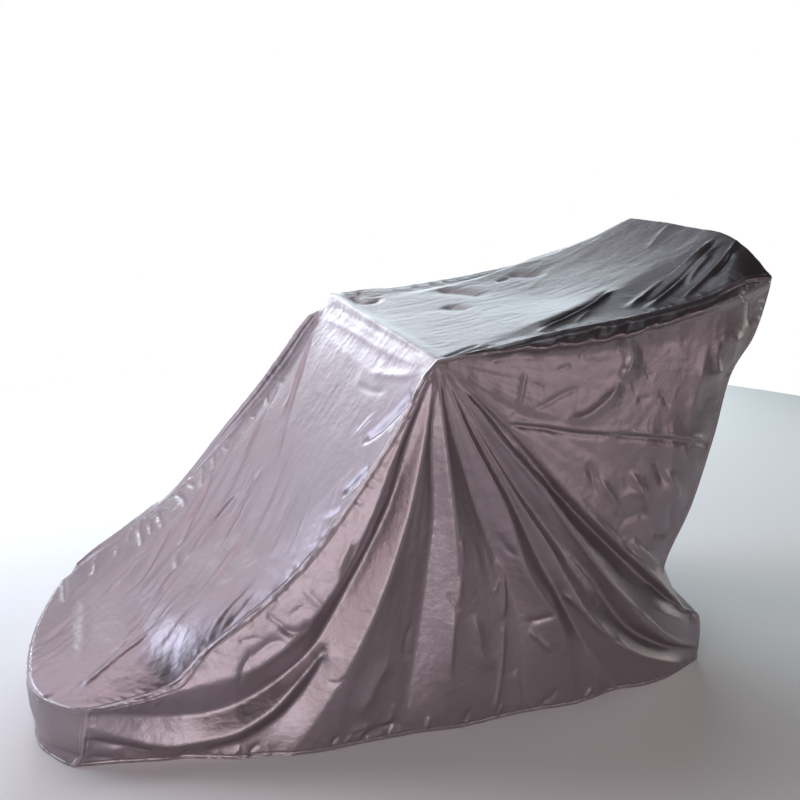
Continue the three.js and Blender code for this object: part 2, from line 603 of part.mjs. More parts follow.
function buildCover() {
  const near = sidePanel(NEAR);
  const far = sidePanel(FAR);
  const strip = centreStrip(near, far);
  const rear = rearPanel(near, far, strip[0]);
  const surfaces = {
    centre_strip: surface(strip, new THREE.Vector3(0, 0, 1)),
    near_side_panel: surface(near.columns, new THREE.Vector3(0, -1, 0)),
    far_side_panel: surface(far.columns, new THREE.Vector3(0, 1, 0)),
    rear_panel: surface(rear, new THREE.Vector3(-1, 0, 0)),
  };
  const normals = sharedNormals(Object.values(surfaces));
  const cover = new THREE.Group();
  cover.name = "treadmill_cover";
  for (const [name, panel] of Object.entries(surfaces)) {
    drawBack(panel, normals);
    const material = new THREE.MeshStandardMaterial({
      color: COLOURS[name],
      roughness: CLOTH_ROUGHNESS,
      metalness: CLOTH_METALNESS,
    });
    const mesh = new THREE.Mesh(sheetGeometry(panel, normals), material);
    mesh.name = name;
    cover.add(mesh);
  }
  return cover;
}

export default buildCover();
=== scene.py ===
"""Treadmill cover: the looks of four sewn cloth panels, draped over the machine."""
import math

import bpy
import numpy as np
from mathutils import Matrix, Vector
from mathutils.geometry import delaunay_2d_cdt


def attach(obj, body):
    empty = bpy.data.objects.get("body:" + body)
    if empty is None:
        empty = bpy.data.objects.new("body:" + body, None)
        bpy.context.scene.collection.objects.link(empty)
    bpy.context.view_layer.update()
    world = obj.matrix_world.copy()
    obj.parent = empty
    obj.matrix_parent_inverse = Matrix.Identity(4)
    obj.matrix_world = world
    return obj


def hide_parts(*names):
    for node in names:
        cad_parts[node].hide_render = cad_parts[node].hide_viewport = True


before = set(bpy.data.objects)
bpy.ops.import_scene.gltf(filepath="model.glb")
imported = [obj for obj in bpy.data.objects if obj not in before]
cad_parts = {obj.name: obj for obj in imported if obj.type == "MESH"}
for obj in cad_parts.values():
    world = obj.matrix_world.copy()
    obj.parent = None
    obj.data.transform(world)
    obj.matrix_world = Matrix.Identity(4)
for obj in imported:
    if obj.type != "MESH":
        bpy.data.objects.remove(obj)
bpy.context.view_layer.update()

# Tables are in millimetres and meshes in metres
MM = 0.001


def table(columns, *rows):
    """Rows as dictionaries with the named columns."""
    names = columns.split()
    return [dict(zip(names, row)) for row in rows]


# Camera, at the photograph's place and angle
CAMERA_PLACE = (-0.997, -2.902, 1.615)
CAMERA_PITCH = 0.269
CAMERA_TURN = 0.356
CAMERA_LENS = 49.5
SENSOR_WIDTH = 36.0

camera_data = bpy.data.cameras.new("camera")
camera_data.lens = CAMERA_LENS
camera_data.sensor_width = SENSOR_WIDTH
camera = bpy.data.objects.new("camera", camera_data)
camera.location = CAMERA_PLACE
camera.rotation_euler = (math.pi / 2 - CAMERA_PITCH, 0.0, -CAMERA_TURN)
bpy.context.scene.collection.objects.link(camera)
bpy.context.scene.camera = camera

# Mesh pitch of each side panel, and in pitches the step of its hem and how far its points stay
# from its border
NEAR_PITCH = 4.6
FAR_PITCH = 5.2
HEM_PITCH = 1.1
BORDER_CLEAR = 0.62

# Steps along the seams and across the strip
DECK_STEPS = 224
TOP_STEPS = 190
REAR_STEPS = 34
FRONT_STEPS = 196
ACROSS_STEPS = 160

# Field raster: pitch, its corner left and below of the side panels, and its size
RASTER = 4.0
RASTER_X = -968.0
RASTER_Z = -12.0
RASTER_COLUMNS = 504
RASTER_ROWS = 296

# Rounds of the field's relaxing on each raster, and the steps of a raster, coarse to fine
FIELD_ROUNDS = 160
FIELD_STEPS = (16, 8, 4, 2, 1)

# Softness of the fold lines and of the strip's shoulders and ridges, and how many shoulder
# softnesses from a seam the strip is softened in full
FOLD_SOFTNESS = 4.2
SHOULDER_SOFTNESS = 12.0
RIDGE_SOFTNESS = 5.0
SOFT_FROM_SEAM = 2.5

# Points of a fold line, where it starts to settle towards the hem and to turn in round the front corner
LINE_SHARES = np.linspace(0.0, 1.0, 700)
FOLD_SETTLE_START = 0.62
CORNER_TURN_START = 0.88

# Least distance between the points that shape a border, reach of the seam coordinates, and points
# of a seam that distances are measured from
END_GAP = 24.0
SEAM_REACH = 60.0
SEAM_POINTS = 91

# Rear end: how far the deck's rear edge and the rear hem stand out at most, how far the rear panel
# bellies out between them, its height, and the share of it over which it leaves the strip's edge
REAR_EDGE_BULGE = 131.0
REAR_HEM_BULGE = 84.0
REAR_BELLY = 5.0
REAR_DROP = 176.0
REAR_JOIN = 0.4

# Bulges across the strip: the share where one stands out most, and the power of its fall to each seam
FRONT_BULGE = {"peak": 0.5, "near_power": 2.3, "far_power": 2.3}
REAR_BULGE = {"peak": 0.27, "near_power": 2.3, "far_power": 1.8}

SEAM = "x reach z"
WALL = "x top top_z hem"
FOLD = "name x1 z1 x2 z2 x3 z3 xe ze rise out edge turn"
END = "xe ze edge turn"

# Folds run from the handle end through three points to their end at xe, ze. rise: share of the run
# over which one grows, out: how far it then stands out from the wall, edge: how far at its end,
# turn: how far its last part turns in round the front corner. These are on the near plain wall.
NEAR_FOLDS = table(
    FOLD,
    ("below waist", 214, 808, 400, 612, 570, 424, 751, 239, 0.34, 6, 2, 26),
    ("waist", 194, 842, 370, 677, 538, 511, 712, 311, 0.34, 4, -4, 26),
    ("above waist", 200, 856, 395, 736, 590, 626, 801, 497, 0.34, 2, 0, 30),
    ("pressed crease", 172, 884, 384, 800, 605, 746, 868, 686, 0.34, 6, 0, 34),
    ("upper side", 226, 952, 447, 930, 665, 900, 924, 868, 0.34, -2, 2, 44),
    ("top side", 230, 980, 455, 978, 690, 984, 996, 965, 0.34, -4, 2, 46),
    ("under the rail", 231, 992, 462, 1002, 705, 1040, 1020, 1088, 0.34, 6, 2, 30),
    ("rail edge", 232, 1006, 466, 1018, 716, 1062, 1007, 1122, 0.34, 40, 6, 8),
)
NEAR = {
    "side": -1,
    "deck_seam": table(
        SEAM,
        (8, 462, 990), (-28, 460, 950), (-67, 458, 874), (-126, 455, 775), (-222, 447, 635),
        (-334, 439, 492), (-448, 430, 388), (-580, 419, 292), (-655, 412, 212), (-705, 408, 193),
        (-878, 392, 162),
    ),
    "rail_seam": table(
        SEAM,
        (8, 462, 990), (123, 462, 1006), (346, 464, 1040), (570, 464, 1064), (778, 460, 1098),
        (920, 452, 1137), (1010, 441, 1137),
    ),
    "wall": table(
        WALL,
        (-930, 385, 150, 362), (-655, 412, 212, 430), (-526, 424, 330, 484), (-345, 438, 480, 503),
        (-122, 455, 780, 516), (8, 462, 990, 526), (230, 466, 1028, 532), (450, 468, 1056, 528),
        (700, 466, 1085, 500), (863, 460, 1120, 470), (1010, 448, 1137, 440),
    ),
    "rear_ends": table(
        END,
        (-882, 150, 4, 0), (-884, 140, -6, 0), (-887, 128, -4, 0), (-900, 50, 6, 0), (-905, 26, -4, 0),
        (-924, 0, 0, 0),
    ),
    "front_ends": table(
        END,
        (863, 0, 0, 30), (861, 14, 6, 30), (862, 24, 0, 30), (862, 33, 4, 30), (862, 40, 0, 30),
        (861, 48, 6, 30), (861, 140, -4, 30), (785, 189, 8, 26),
    ) + NEAR_FOLDS,
}

FAR_FOLDS = table(
    FOLD,
    ("lip", -180, 770, -387, 546, -614, 342, -887, 168, 0.08, 44, 4, 0),
    ("swag valley", -118, 692, -345, 412, -590, 222, -891, 146, 0.34, 6, -4, 0),
    ("swag ridge", -104, 672, -310, 350, -570, 150, -896, 112, 0.34, 24, 6, 0),
    ("low hollow", -100, 662, -292, 310, -555, 84, -901, 60, 0.34, 0, -4, 0),
    ("rear corner", -96, 660, -280, 292, -540, 40, -906, 0, 0.34, 10, 0, 0),
    ("first ridge", -88, 742, -208, 495, -345, 246, -540, 0, 0.34, 28, 16, 0),
    ("first valley", -58, 746, -124, 498, -206, 250, -315, 0, 0.34, -22, -12, 0),
    ("middle ridge", -20, 748, -42, 500, -66, 250, -84, 0, 0.34, 30, 18, 0),
    ("middle valley", 26, 748, 58, 500, 84, 250, 118, 0, 0.34, -26, -14, 0),
    ("long ridge", 68, 752, 142, 508, 210, 258, 304, 0, 0.34, 24, 10, 0),
    ("long valley", 112, 754, 232, 512, 345, 262, 492, 0, 0.34, -18, -6, 0),
    ("skirt", 136, 752, 278, 504, 436, 252, 676, 0, 0.34, 4, 4, 4),
    ("front corner", 150, 752, 306, 504, 498, 248, 858, 0, 0.34, 8, 0, 30),
    ("silver ridge", 166, 758, 338, 516, 540, 276, 856, 42, 0.34, 24, 6, 30),
    ("silver valley", 182, 770, 372, 546, 578, 326, 852, 92, 0.34, -12, 0, 30),
    ("taut lip", 198, 786, 400, 580, 604, 376, 842, 150, 0.34, 16, 8, 26),
    ("waist", 202, 830, 398, 668, 580, 506, 752, 322, 0.34, 0, -4, 26),
    ("above waist", 212, 884, 424, 780, 632, 682, 840, 560, 0.34, 4, 0, 30),
    ("upper side", 226, 940, 447, 906, 665, 874, 896, 824, 0.34, -2, 2, 40),
    ("under the rail", 231, 984, 462, 1000, 705, 1042, 968, 1080, 0.34, 8, 2, 30),
    ("rail edge", 232, 1010, 468, 1028, 716, 1068, 977, 1122, 0.34, 30, 6, 8),
)
# Folds that end on the far panel's rear edge, and on its front edge
FAR_REAR = slice(1, 5)
FAR_FRONT = slice(12, None)
FAR = {
    "side": 1,
    "deck_seam": table(
        SEAM,
        (18, 462, 1006), (-8, 462, 954), (-66, 459, 876), (-158, 449, 756), (-306, 438, 605),
        (-488, 423, 439), (-624, 413, 340), (-788, 400, 236), (-885, 392, 176),
    ),
    "rail_seam": table(
        SEAM,
        (18, 462, 1006), (76, 430, 995), (200, 396, 1004), (370, 402, 1016), (540, 425, 1033),
        (700, 444, 1064), (860, 448, 1112), (982, 441, 1151),
    ),
    "wall": table(
        WALL,
        (-930, 385, 165, 372), (-655, 416, 360, 440), (-488, 423, 439, 480), (-306, 438, 605, 498),
        (-158, 449, 756, 508), (18, 462, 1006, 518), (230, 452, 1004, 526), (540, 455, 1033, 520),
        (700, 458, 1064, 502), (863, 456, 1112, 474), (1010, 446, 1151, 446),
    ),
    "rear_ends": FAR_FOLDS[FAR_REAR],
    "front_ends": FAR_FOLDS[FAR_FRONT],
}

# Crests and valleys of the near side, each along seven points. out: how far it stands out from the
# wall at each point, turn: how far its last part turns in round the front corner.
FORM = "name x1 z1 out1 x2 z2 out2 x3 z3 out3 x4 z4 out4 x5 z5 out5 x6 z6 out6 x7 z7 out7 turn"
NEAR_FORM = table(
    FORM,
    ("lip crest", 8, 990, 0, -85, 800, 12, -172, 600, 22, -290, 400, 24, -450, 252, 18, -650, 194, 10,
     -878, 158, 2, 0),
    ("dark valley", 8, 990, 0, -60, 800, -12, -125, 600, -26, -235, 400, -28, -350, 235, -24,
     -600, 118, -14, -884, 150, -4, 0),
    ("tongue crest", -296, 262, -2, -350, 214, 10, -400, 166, 18, -450, 124, 22, -560, 74, 22,
     -700, 50, 18, -890, 118, 4, 0),
    ("tongue valley", -302, 236, -8, -348, 165, -12, -398, 112, -14, -450, 76, -14, -540, 38, -12,
     -640, 14, -8, -720, 0, -4, 0),
    ("rear crease", -904, 86, -2, -880, 76, -5, -850, 64, -6, -820, 53, -6, -790, 43, -6, -760, 32, -5,
     -716, 16, -2, 0),
    ("first crest", 8, 990, 0, -28, 800, 14, -82, 600, 24, -155, 400, 28, -230, 250, 26, -325, 100, 16,
     -405, 0, 6, 0),
    ("first valley", 8, 990, 0, -8, 800, -10, 0, 600, -22, -26, 400, -24, -52, 250, -22, -85, 100, -12,
     -110, 0, 2, 0),
    ("middle crest", 8, 990, 0, 24, 800, 8, 42, 600, 14, 54, 400, 17, 38, 300, 16, 28, 150, 12,
     60, 0, 8, 0),
    ("middle valley", 8, 990, 0, 52, 800, -14, 118, 600, -26, 198, 400, -28, 226, 280, -24, 240, 150, -14,
     250, 0, -4, 0),
    ("long crest", 8, 990, 0, 88, 800, 6, 184, 600, 15, 252, 400, 20, 330, 270, 22, 372, 150, 16,
     392, 0, 8, 0),
    ("long valley", 8, 990, 0, 104, 800, -9, 212, 600, -16, 290, 440, -18, 352, 320, -16, 440, 160, -12,
     560, 0, -8, 0),
    ("silver crest", 8, 990, 0, 112, 800, -3, 230, 600, -2, 312, 470, 2, 392, 320, 12, 560, 132, 24,
     850, 3, 8, 30),
    ("silver foot", 8, 990, 0, 124, 800, -12, 252, 600, -18, 328, 500, -19, 440, 365, -16, 590, 172, -14,
     861, 26, -4, 30),
    ("thin crest", 8, 990, 0, 152, 800, 8, 316, 600, 17, 386, 500, 19, 520, 315, 20, 690, 135, 19,
     861, 42, 8, 30),
    ("deep valley", 8, 990, 0, 196, 790, -12, 392, 555, -24, 495, 448, -26, 620, 325, -26, 760, 205, -18,
     862, 136, -4, 30),
    ("taut lip", 8, 990, 0, 207, 793, 3, 403, 569, 11, 507, 463, 14, 633, 341, 14, 738, 242, 12,
     785, 189, 8, 26),
)

# The far panel's cloth stands up past its seams. at: share of the seam run, height: how far a line
# CROWN_TOP below the seam is lifted past it, in the panel's plane, out: how far it stands out. The
# lift dies away at CROWN_FOOT, and it follows the seam's direction over CROWN_STEP to each side.
CROWN = "at height out"
CROWN_TOP = {"deck": 35.0, "rail": 20.0}
CROWN_FOOT = {"deck": 150.0, "rail": 80.0}
CROWN_POINTS = 61
CROWN_STEP = 0.03
FAR_DECK_CROWN = table(
    CROWN,
    (0, 0, 0), (0.04, 20, 40), (0.08, 50, 44), (0.12, 54, 46), (0.25, 59, 46), (0.33, 53, 46),
    (0.42, 48, 46), (0.5, 41, 44), (0.57, 32, 40), (0.65, 22, 34), (0.7, 13, 30), (0.75, 13, 30),
    (0.8, 20, 28), (0.85, 28, 26), (0.9, 36, 24), (0.95, 38, 16), (1, 0, 0),
)
FAR_RAIL_CROWN = table(
    CROWN,
    (0, 0, 0), (0.05, 24, 20), (0.1, 28, 26), (0.2, 22, 30), (0.38, 23, 30), (0.55, 24, 28),
    (0.72, 18, 20), (0.9, 12, 10), (1, 0, 0),
)

# Cross sections of the strip by share of a seam's run: shares across where the near slope ends and the
# far fall starts, how high they lift, the crowns of slope and middle, and the push of the whole row
SECTION = "at near_share near_lift far_share far_lift slope_lift mid_lift push"
DECK_SECTIONS = table(
    SECTION,
    (0, 0.03, 0, 0.97, 0, 0, 0, 0),
    (0.03, 0.04, -4, 0.96, -4, 0, -10, 0),
    (0.05, 0.05, -4, 0.95, -2, 0, -12, 0),
    (0.1, 0.07, 0, 0.93, 2, 0, -2, 0),
    (0.3, 0.13, 2, 0.87, 8, -3, -14, 0),
    (0.55, 0.19, 4, 0.83, 10, 2, -20, -6),
    (0.8, 0.23, 10, 0.8, 6, 4, -8, -60),
    (0.92, 0.25, 10, 0.78, 4, 2, 4, -110),
    (1, 0.26, 2, 0.77, 0, 0, 4, -131),
)
TOP_SECTIONS = table(
    SECTION,
    (0, 0.03, 0, 0.97, 0, 0, 0, 0),
    (0.05, 0.03, -3, 0.93, -10, 0, -6, 0),
    (0.25, 0.107, 2, 0.93, 2, -3, -10, 0),
    (0.5, 0.184, 18, 0.93, 20, -4, -18, 0),
    (0.65, 0.25, 25, 0.935, 31, -3, -12, 0),
    (0.78, 0.305, 42, 0.893, 35, 8, -6, 3),
    (0.9, 0.36, 54, 0.844, 52, 24, 0, 8),
    (1, 0.375, 91, 0.81, 82, 34, 4, 15),
)
FRONT_SECTIONS = table(
    SECTION,
    (0, 0.375, 91, 0.81, 82, 34, 4, 15),
    (0.06, 0.36, 48, 0.8, 46, 20, 2, 30),
    (0.15, 0.32, 18, 0.76, 16, 6, 0, 44),
    (0.31, 0.3, 0, 0.72, 0, 0, 0, 72),
    (0.49, 0.28, 0, 0.72, 0, 0, 0, 90),
    (0.73, 0.26, 0, 0.74, 0, 0, 0, 140),
    (0.87, 0.26, 0, 0.74, 0, 0, 0, 44),
    (1, 0.26, 0, 0.74, 0, 0, 0, 26),
)

# Creases lie along curves of four points. out: how far one stands out, or in if it is negative.
# left and right: its width to each side of its run. fade: share of the run over which each end dies.
# A row may leave off its fade, and then its right too where it is as its left.
CREASE = "x1 z1 x2 z2 x3 z3 x4 z4 out left right fade"
CREASE_FADE = 0.3


def creases(*rows):
    whole = [row + row[-1:] if len(row) == 10 else row for row in rows]
    return table(CREASE, *(row + (CREASE_FADE,) if len(row) == 11 else row for row in whole))


NEAR_CREASES = creases(
    # Lip and seam
    (-222, 562, -232, 535, -250, 500, -268, 458, 3, 10, 6),
    (-205, 550, -222, 515, -235, 488, -255, 452, -4, 5, 8),
    (-515, 305, -490, 309, -465, 314, -445, 303, -2.2, 5, 6),
    (-495, 240, -460, 282, -420, 303, -385, 296, -6, 12, 14),
    (-510, 185, -512, 215, -498, 252, -470, 290, -4, 8),
    (-412, 345, -385, 325, -358, 325, -328, 356, -7, 10, 12),
    (-390, 356, -375, 370, -360, 380, -345, 395, -1.7, 6),
    (-350, 440, -330, 415, -310, 392, -296, 372, 3, 12, 10),
    (-440, 372, -425, 360, -410, 348, -392, 338, -2.8, 7),
    (-60, 842, -68, 846, -78, 842, -86, 838, 1.5, 5),
    (-6, 935, -18, 942, -30, 938, -42, 926, 2.2, 5),
    (-22, 905, -32, 910, -42, 906, -52, 898, -2.2, 5),
    (-282, 500, -300, 520, -310, 528, -322, 530, -1.7, 7),
    (-250, 560, -262, 572, -268, 588, -262, 600, -2.2, 8),
    # Rose face below the swag
    (-300, 185, -285, 181, -268, 186, -250, 200, -2.8, 6),
    (-25, 852, -52, 780, -80, 705, -120, 600, -4, 9),
    (-210, 350, -200, 356, -190, 358, -180, 354, -1.7, 5),
    (-120, 600, -105, 615, -95, 622, -85, 628, -1.7, 5),
    # Dark hollow and its foot
    (-120, 230, -160, 180, -200, 110, -235, 65, 8, 20, 24, 0.35),
    (-60, 310, -76, 280, -84, 220, -58, 208, -3, 8),
    (-135, 95, -126, 76, -132, 56, -168, 36, 3.3, 7, 9, 0.25),
    (-250, 35, -205, 45, -215, 25, -248, 10, 5, 9),
    (-240, 8, -200, 22, -150, 36, -100, 40, -6, 9),
    # Middle ridge
    (25, 388, 36, 362, 46, 345, 58, 328, -2.8, 5, 6),
    (45, 340, 36, 285, 31, 215, 28, 150, 4, 6, 5),
    (66, 532, 64, 500, 66, 475, 72, 448, 3, 6, 5),
    (60, 442, 57, 410, 54, 380, 50, 350, 3, 6, 5),
    (90, 320, 112, 246, 122, 182, 170, 140, 9, 18, 16),
    (103, 236, 112, 222, 118, 208, 124, 190, -2.2, 5),
    # Long ridge
    (168, 452, 190, 410, 196, 345, 190, 270, 5, 8, 7, 0.2),
    (190, 275, 186, 205, 176, 125, 150, 0, 5, 8, 6, 0.2),
    (155, 350, 168, 358, 176, 372, 182, 392, 1.7, 5),
    (172, 522, 186, 492, 200, 470, 232, 448, -4, 9),
    (248, 254, 280, 262, 310, 272, 336, 280, -6, 9, 8),
    (258, 240, 278, 220, 302, 192, 326, 164, 5, 8),
    (212, 132, 222, 105, 232, 60, 240, 6, 4, 9),
    (318, 12, 326, 30, 336, 46, 346, 62, -4, 8),
    # Silver and rose ridges
    (355, 332, 400, 290, 450, 230, 520, 170, 6, 10, 8, 0.15),
    (520, 170, 600, 110, 700, 60, 800, 15, 8, 10, 9, 0.15),
    (300, 550, 350, 480, 400, 400, 480, 300, 5, 10, 9, 0.2),
    # Thin ridge
    (100, 885, 160, 790, 235, 696, 300, 616, 4, 4, 4, 0.12),
    (300, 616, 400, 470, 500, 340, 600, 235, 5, 5, 5, 0.1),
    (600, 235, 700, 140, 780, 86, 860, 45, 4, 6, 5, 0.12),
    # Deep valley line
    (88, 905, 150, 838, 216, 744, 300, 650, -5, 5, 6, 0.12),
    (300, 650, 412, 541, 520, 430, 640, 318, -6, 6, 7, 0.1),
    (640, 318, 720, 236, 800, 180, 860, 145, -9, 8, 10, 0.15),
    # Facets between them
    (640, 240, 700, 200, 760, 168, 820, 140, 6, 22, 20),
    (660, 270, 720, 215, 790, 165, 850, 120, -5, 14),
    # Crumples above the deep valley
    (450, 650, 478, 612, 512, 566, 525, 508, 8, 14, 12, 0.25),
    (555, 645, 588, 602, 612, 560, 636, 505, 8, 14, 12, 0.25),
    (590, 460, 584, 436, 632, 388, 700, 330, 8, 10, 14, 0.25),
    (670, 632, 700, 600, 722, 570, 746, 540, 6, 14, 12),
    (730, 700, 760, 650, 792, 618, 830, 590, 6, 16, 14),
    (640, 455, 665, 444, 692, 436, 720, 430, -6, 14),
    (520, 500, 560, 508, 600, 512, 640, 498, -6, 16, 12),
    (520, 572, 560, 580, 600, 578, 640, 560, 6, 18, 18, 0.35),
    (420, 690, 440, 655, 452, 620, 470, 585, -6, 14),
    (640, 690, 650, 650, 668, 612, 690, 580, -6, 16),
    (700, 540, 712, 500, 722, 460, 726, 420, -7, 18, 16),
    (560, 480, 540, 450, 560, 420, 600, 392, -5, 16, 14),
    # Pressed crease and its hook
    (190, 812, 300, 789, 400, 765, 500, 750, -7, 5, 9, 0.12),
    (500, 750, 600, 733, 740, 702, 862, 668, -7, 6, 10, 0.12),
    (186, 822, 300, 800, 420, 774, 560, 754, 4, 8, 6, 0.15),
    (540, 756, 640, 738, 740, 716, 850, 688, 4, 8, 6, 0.15),
    (185, 818, 190, 832, 205, 838, 222, 845, 1.7, 5),
    (222, 845, 232, 880, 242, 915, 250, 955, 3, 7, 6),
    (260, 910, 272, 906, 286, 900, 300, 895, -1.7, 5),
    (250, 840, 290, 848, 350, 872, 420, 890, -4, 9, 8),
    # Big hook fold and its neighbours
    (480, 1026, 532, 1002, 556, 950, 520, 890, 12, 26, 15, 0.22),
    (535, 905, 490, 856, 430, 818, 350, 800, 9, 22, 13, 0.25),
    (560, 1030, 588, 1018, 602, 1002, 595, 980, 3.3, 9, 7),
    (398, 962, 410, 972, 420, 982, 430, 992, -3.3, 8),
    (335, 945, 350, 940, 365, 943, 380, 950, -2.8, 7),
    (510, 996, 514, 988, 518, 980, 522, 970, -2.8, 6),
    (640, 850, 664, 838, 674, 818, 690, 810, -2.8, 9),
    (575, 842, 592, 836, 605, 838, 622, 842, -2.2, 8),
    (560, 902, 566, 886, 572, 868, 576, 850, -2.2, 8),
    (604, 928, 608, 912, 614, 900, 626, 888, -2.2, 8),
    # Puckers of the rail band
    (420, 1046, 382, 1031, 346, 1014, 358, 999, 5, 9, 8, 0.25),
    (350, 1041, 326, 1026, 310, 1016, 298, 1008, 2.2, 6),
    (270, 1030, 205, 1014, 170, 1004, 138, 999, 5, 9, 8),
    (455, 1051, 461, 1038, 461, 1026, 455, 1014, 2.2, 6, 5),
    (130, 968, 190, 984, 240, 990, 300, 965, -6, 14),
    (205, 985, 225, 996, 250, 1008, 285, 1020, -6, 6, 8, 0.2),
    (262, 988, 282, 1000, 305, 1012, 335, 1026, 5, 6, 7, 0.2),
    (300, 992, 322, 1004, 348, 1018, 380, 1034, -7, 7, 8, 0.2),
    (352, 998, 374, 1008, 398, 1022, 425, 1040, 6, 6, 7, 0.2),
    (395, 1000, 416, 1012, 440, 1026, 470, 1046, -7, 7, 8, 0.2),
    (440, 1003, 458, 1014, 482, 1030, 510, 1050, 6, 6, 7, 0.2),
    (480, 1006, 500, 1018, 520, 1034, 548, 1056, -7, 6, 8, 0.2),
    (528, 1010, 548, 1024, 570, 1042, 600, 1062, 6, 6, 7, 0.2),
    (570, 1016, 592, 1028, 615, 1046, 645, 1066, -6, 6, 8, 0.2),
    (622, 1026, 640, 1040, 662, 1056, 690, 1072, 5, 6, 7, 0.2),
    (680, 1042, 700, 1054, 720, 1066, 745, 1080, -5, 6, 8, 0.25),
    (740, 1060, 760, 1070, 785, 1080, 815, 1090, 4, 6, 8, 0.25),
    # Soft bands of the front corner
    (795, 976, 782, 900, 768, 840, 756, 720, 7, 26, 22),
    (835, 986, 834, 940, 846, 896, 885, 860, 6, 18, 16),
    (880, 1106, 895, 1098, 908, 1088, 922, 1074, -3.9, 8),
    (922, 1104, 944, 1054, 958, 1012, 972, 998, -8, 14),
    (900, 1000, 902, 960, 906, 920, 900, 890, 6, 18),
    # Low edge of the rear end
    (-895, 85, -850, 64, -790, 48, -700, 21, -6, 10, 11, 0.25),
    (-900, 30, -870, 25, -845, 19, -820, 12, -4, 8),
    (-840, 36, -800, 46, -755, 32, -700, 18, 4, 9),
    (-760, 173, -738, 178, -718, 176, -715, 147, 2.2, 6, 6, 0.25),
    (-595, 18, -574, 34, -550, 42, -520, 46, -3, 9),
    # Gathers of the hem
    (-672, 3, -664, 12, -655, 22, -640, 34, -4, 5, 7),
    (-548, 3, -542, 12, -532, 22, -518, 32, 4, 5, 6),
    (-505, 3, -500, 14, -490, 24, -470, 34, -4, 5, 6),
    (-300, 3, -296, 14, -288, 26, -272, 40, -5, 6, 7),
    (-262, 3, -257, 12, -248, 22, -235, 32, 4, 5, 6),
    (-148, 3, -145, 14, -140, 26, -130, 42, -4, 6, 7),
    (-38, 3, -36, 14, -32, 28, -24, 48, 4, 6),
    (66, 3, 68, 16, 74, 30, 84, 52, -4, 6, 7),
    (164, 3, 166, 14, 172, 26, 182, 40, 4, 5, 6),
    (298, 3, 302, 14, 310, 26, 324, 38, -4, 6),
    (428, 3, 434, 12, 444, 22, 460, 34, 4, 5, 6),
)

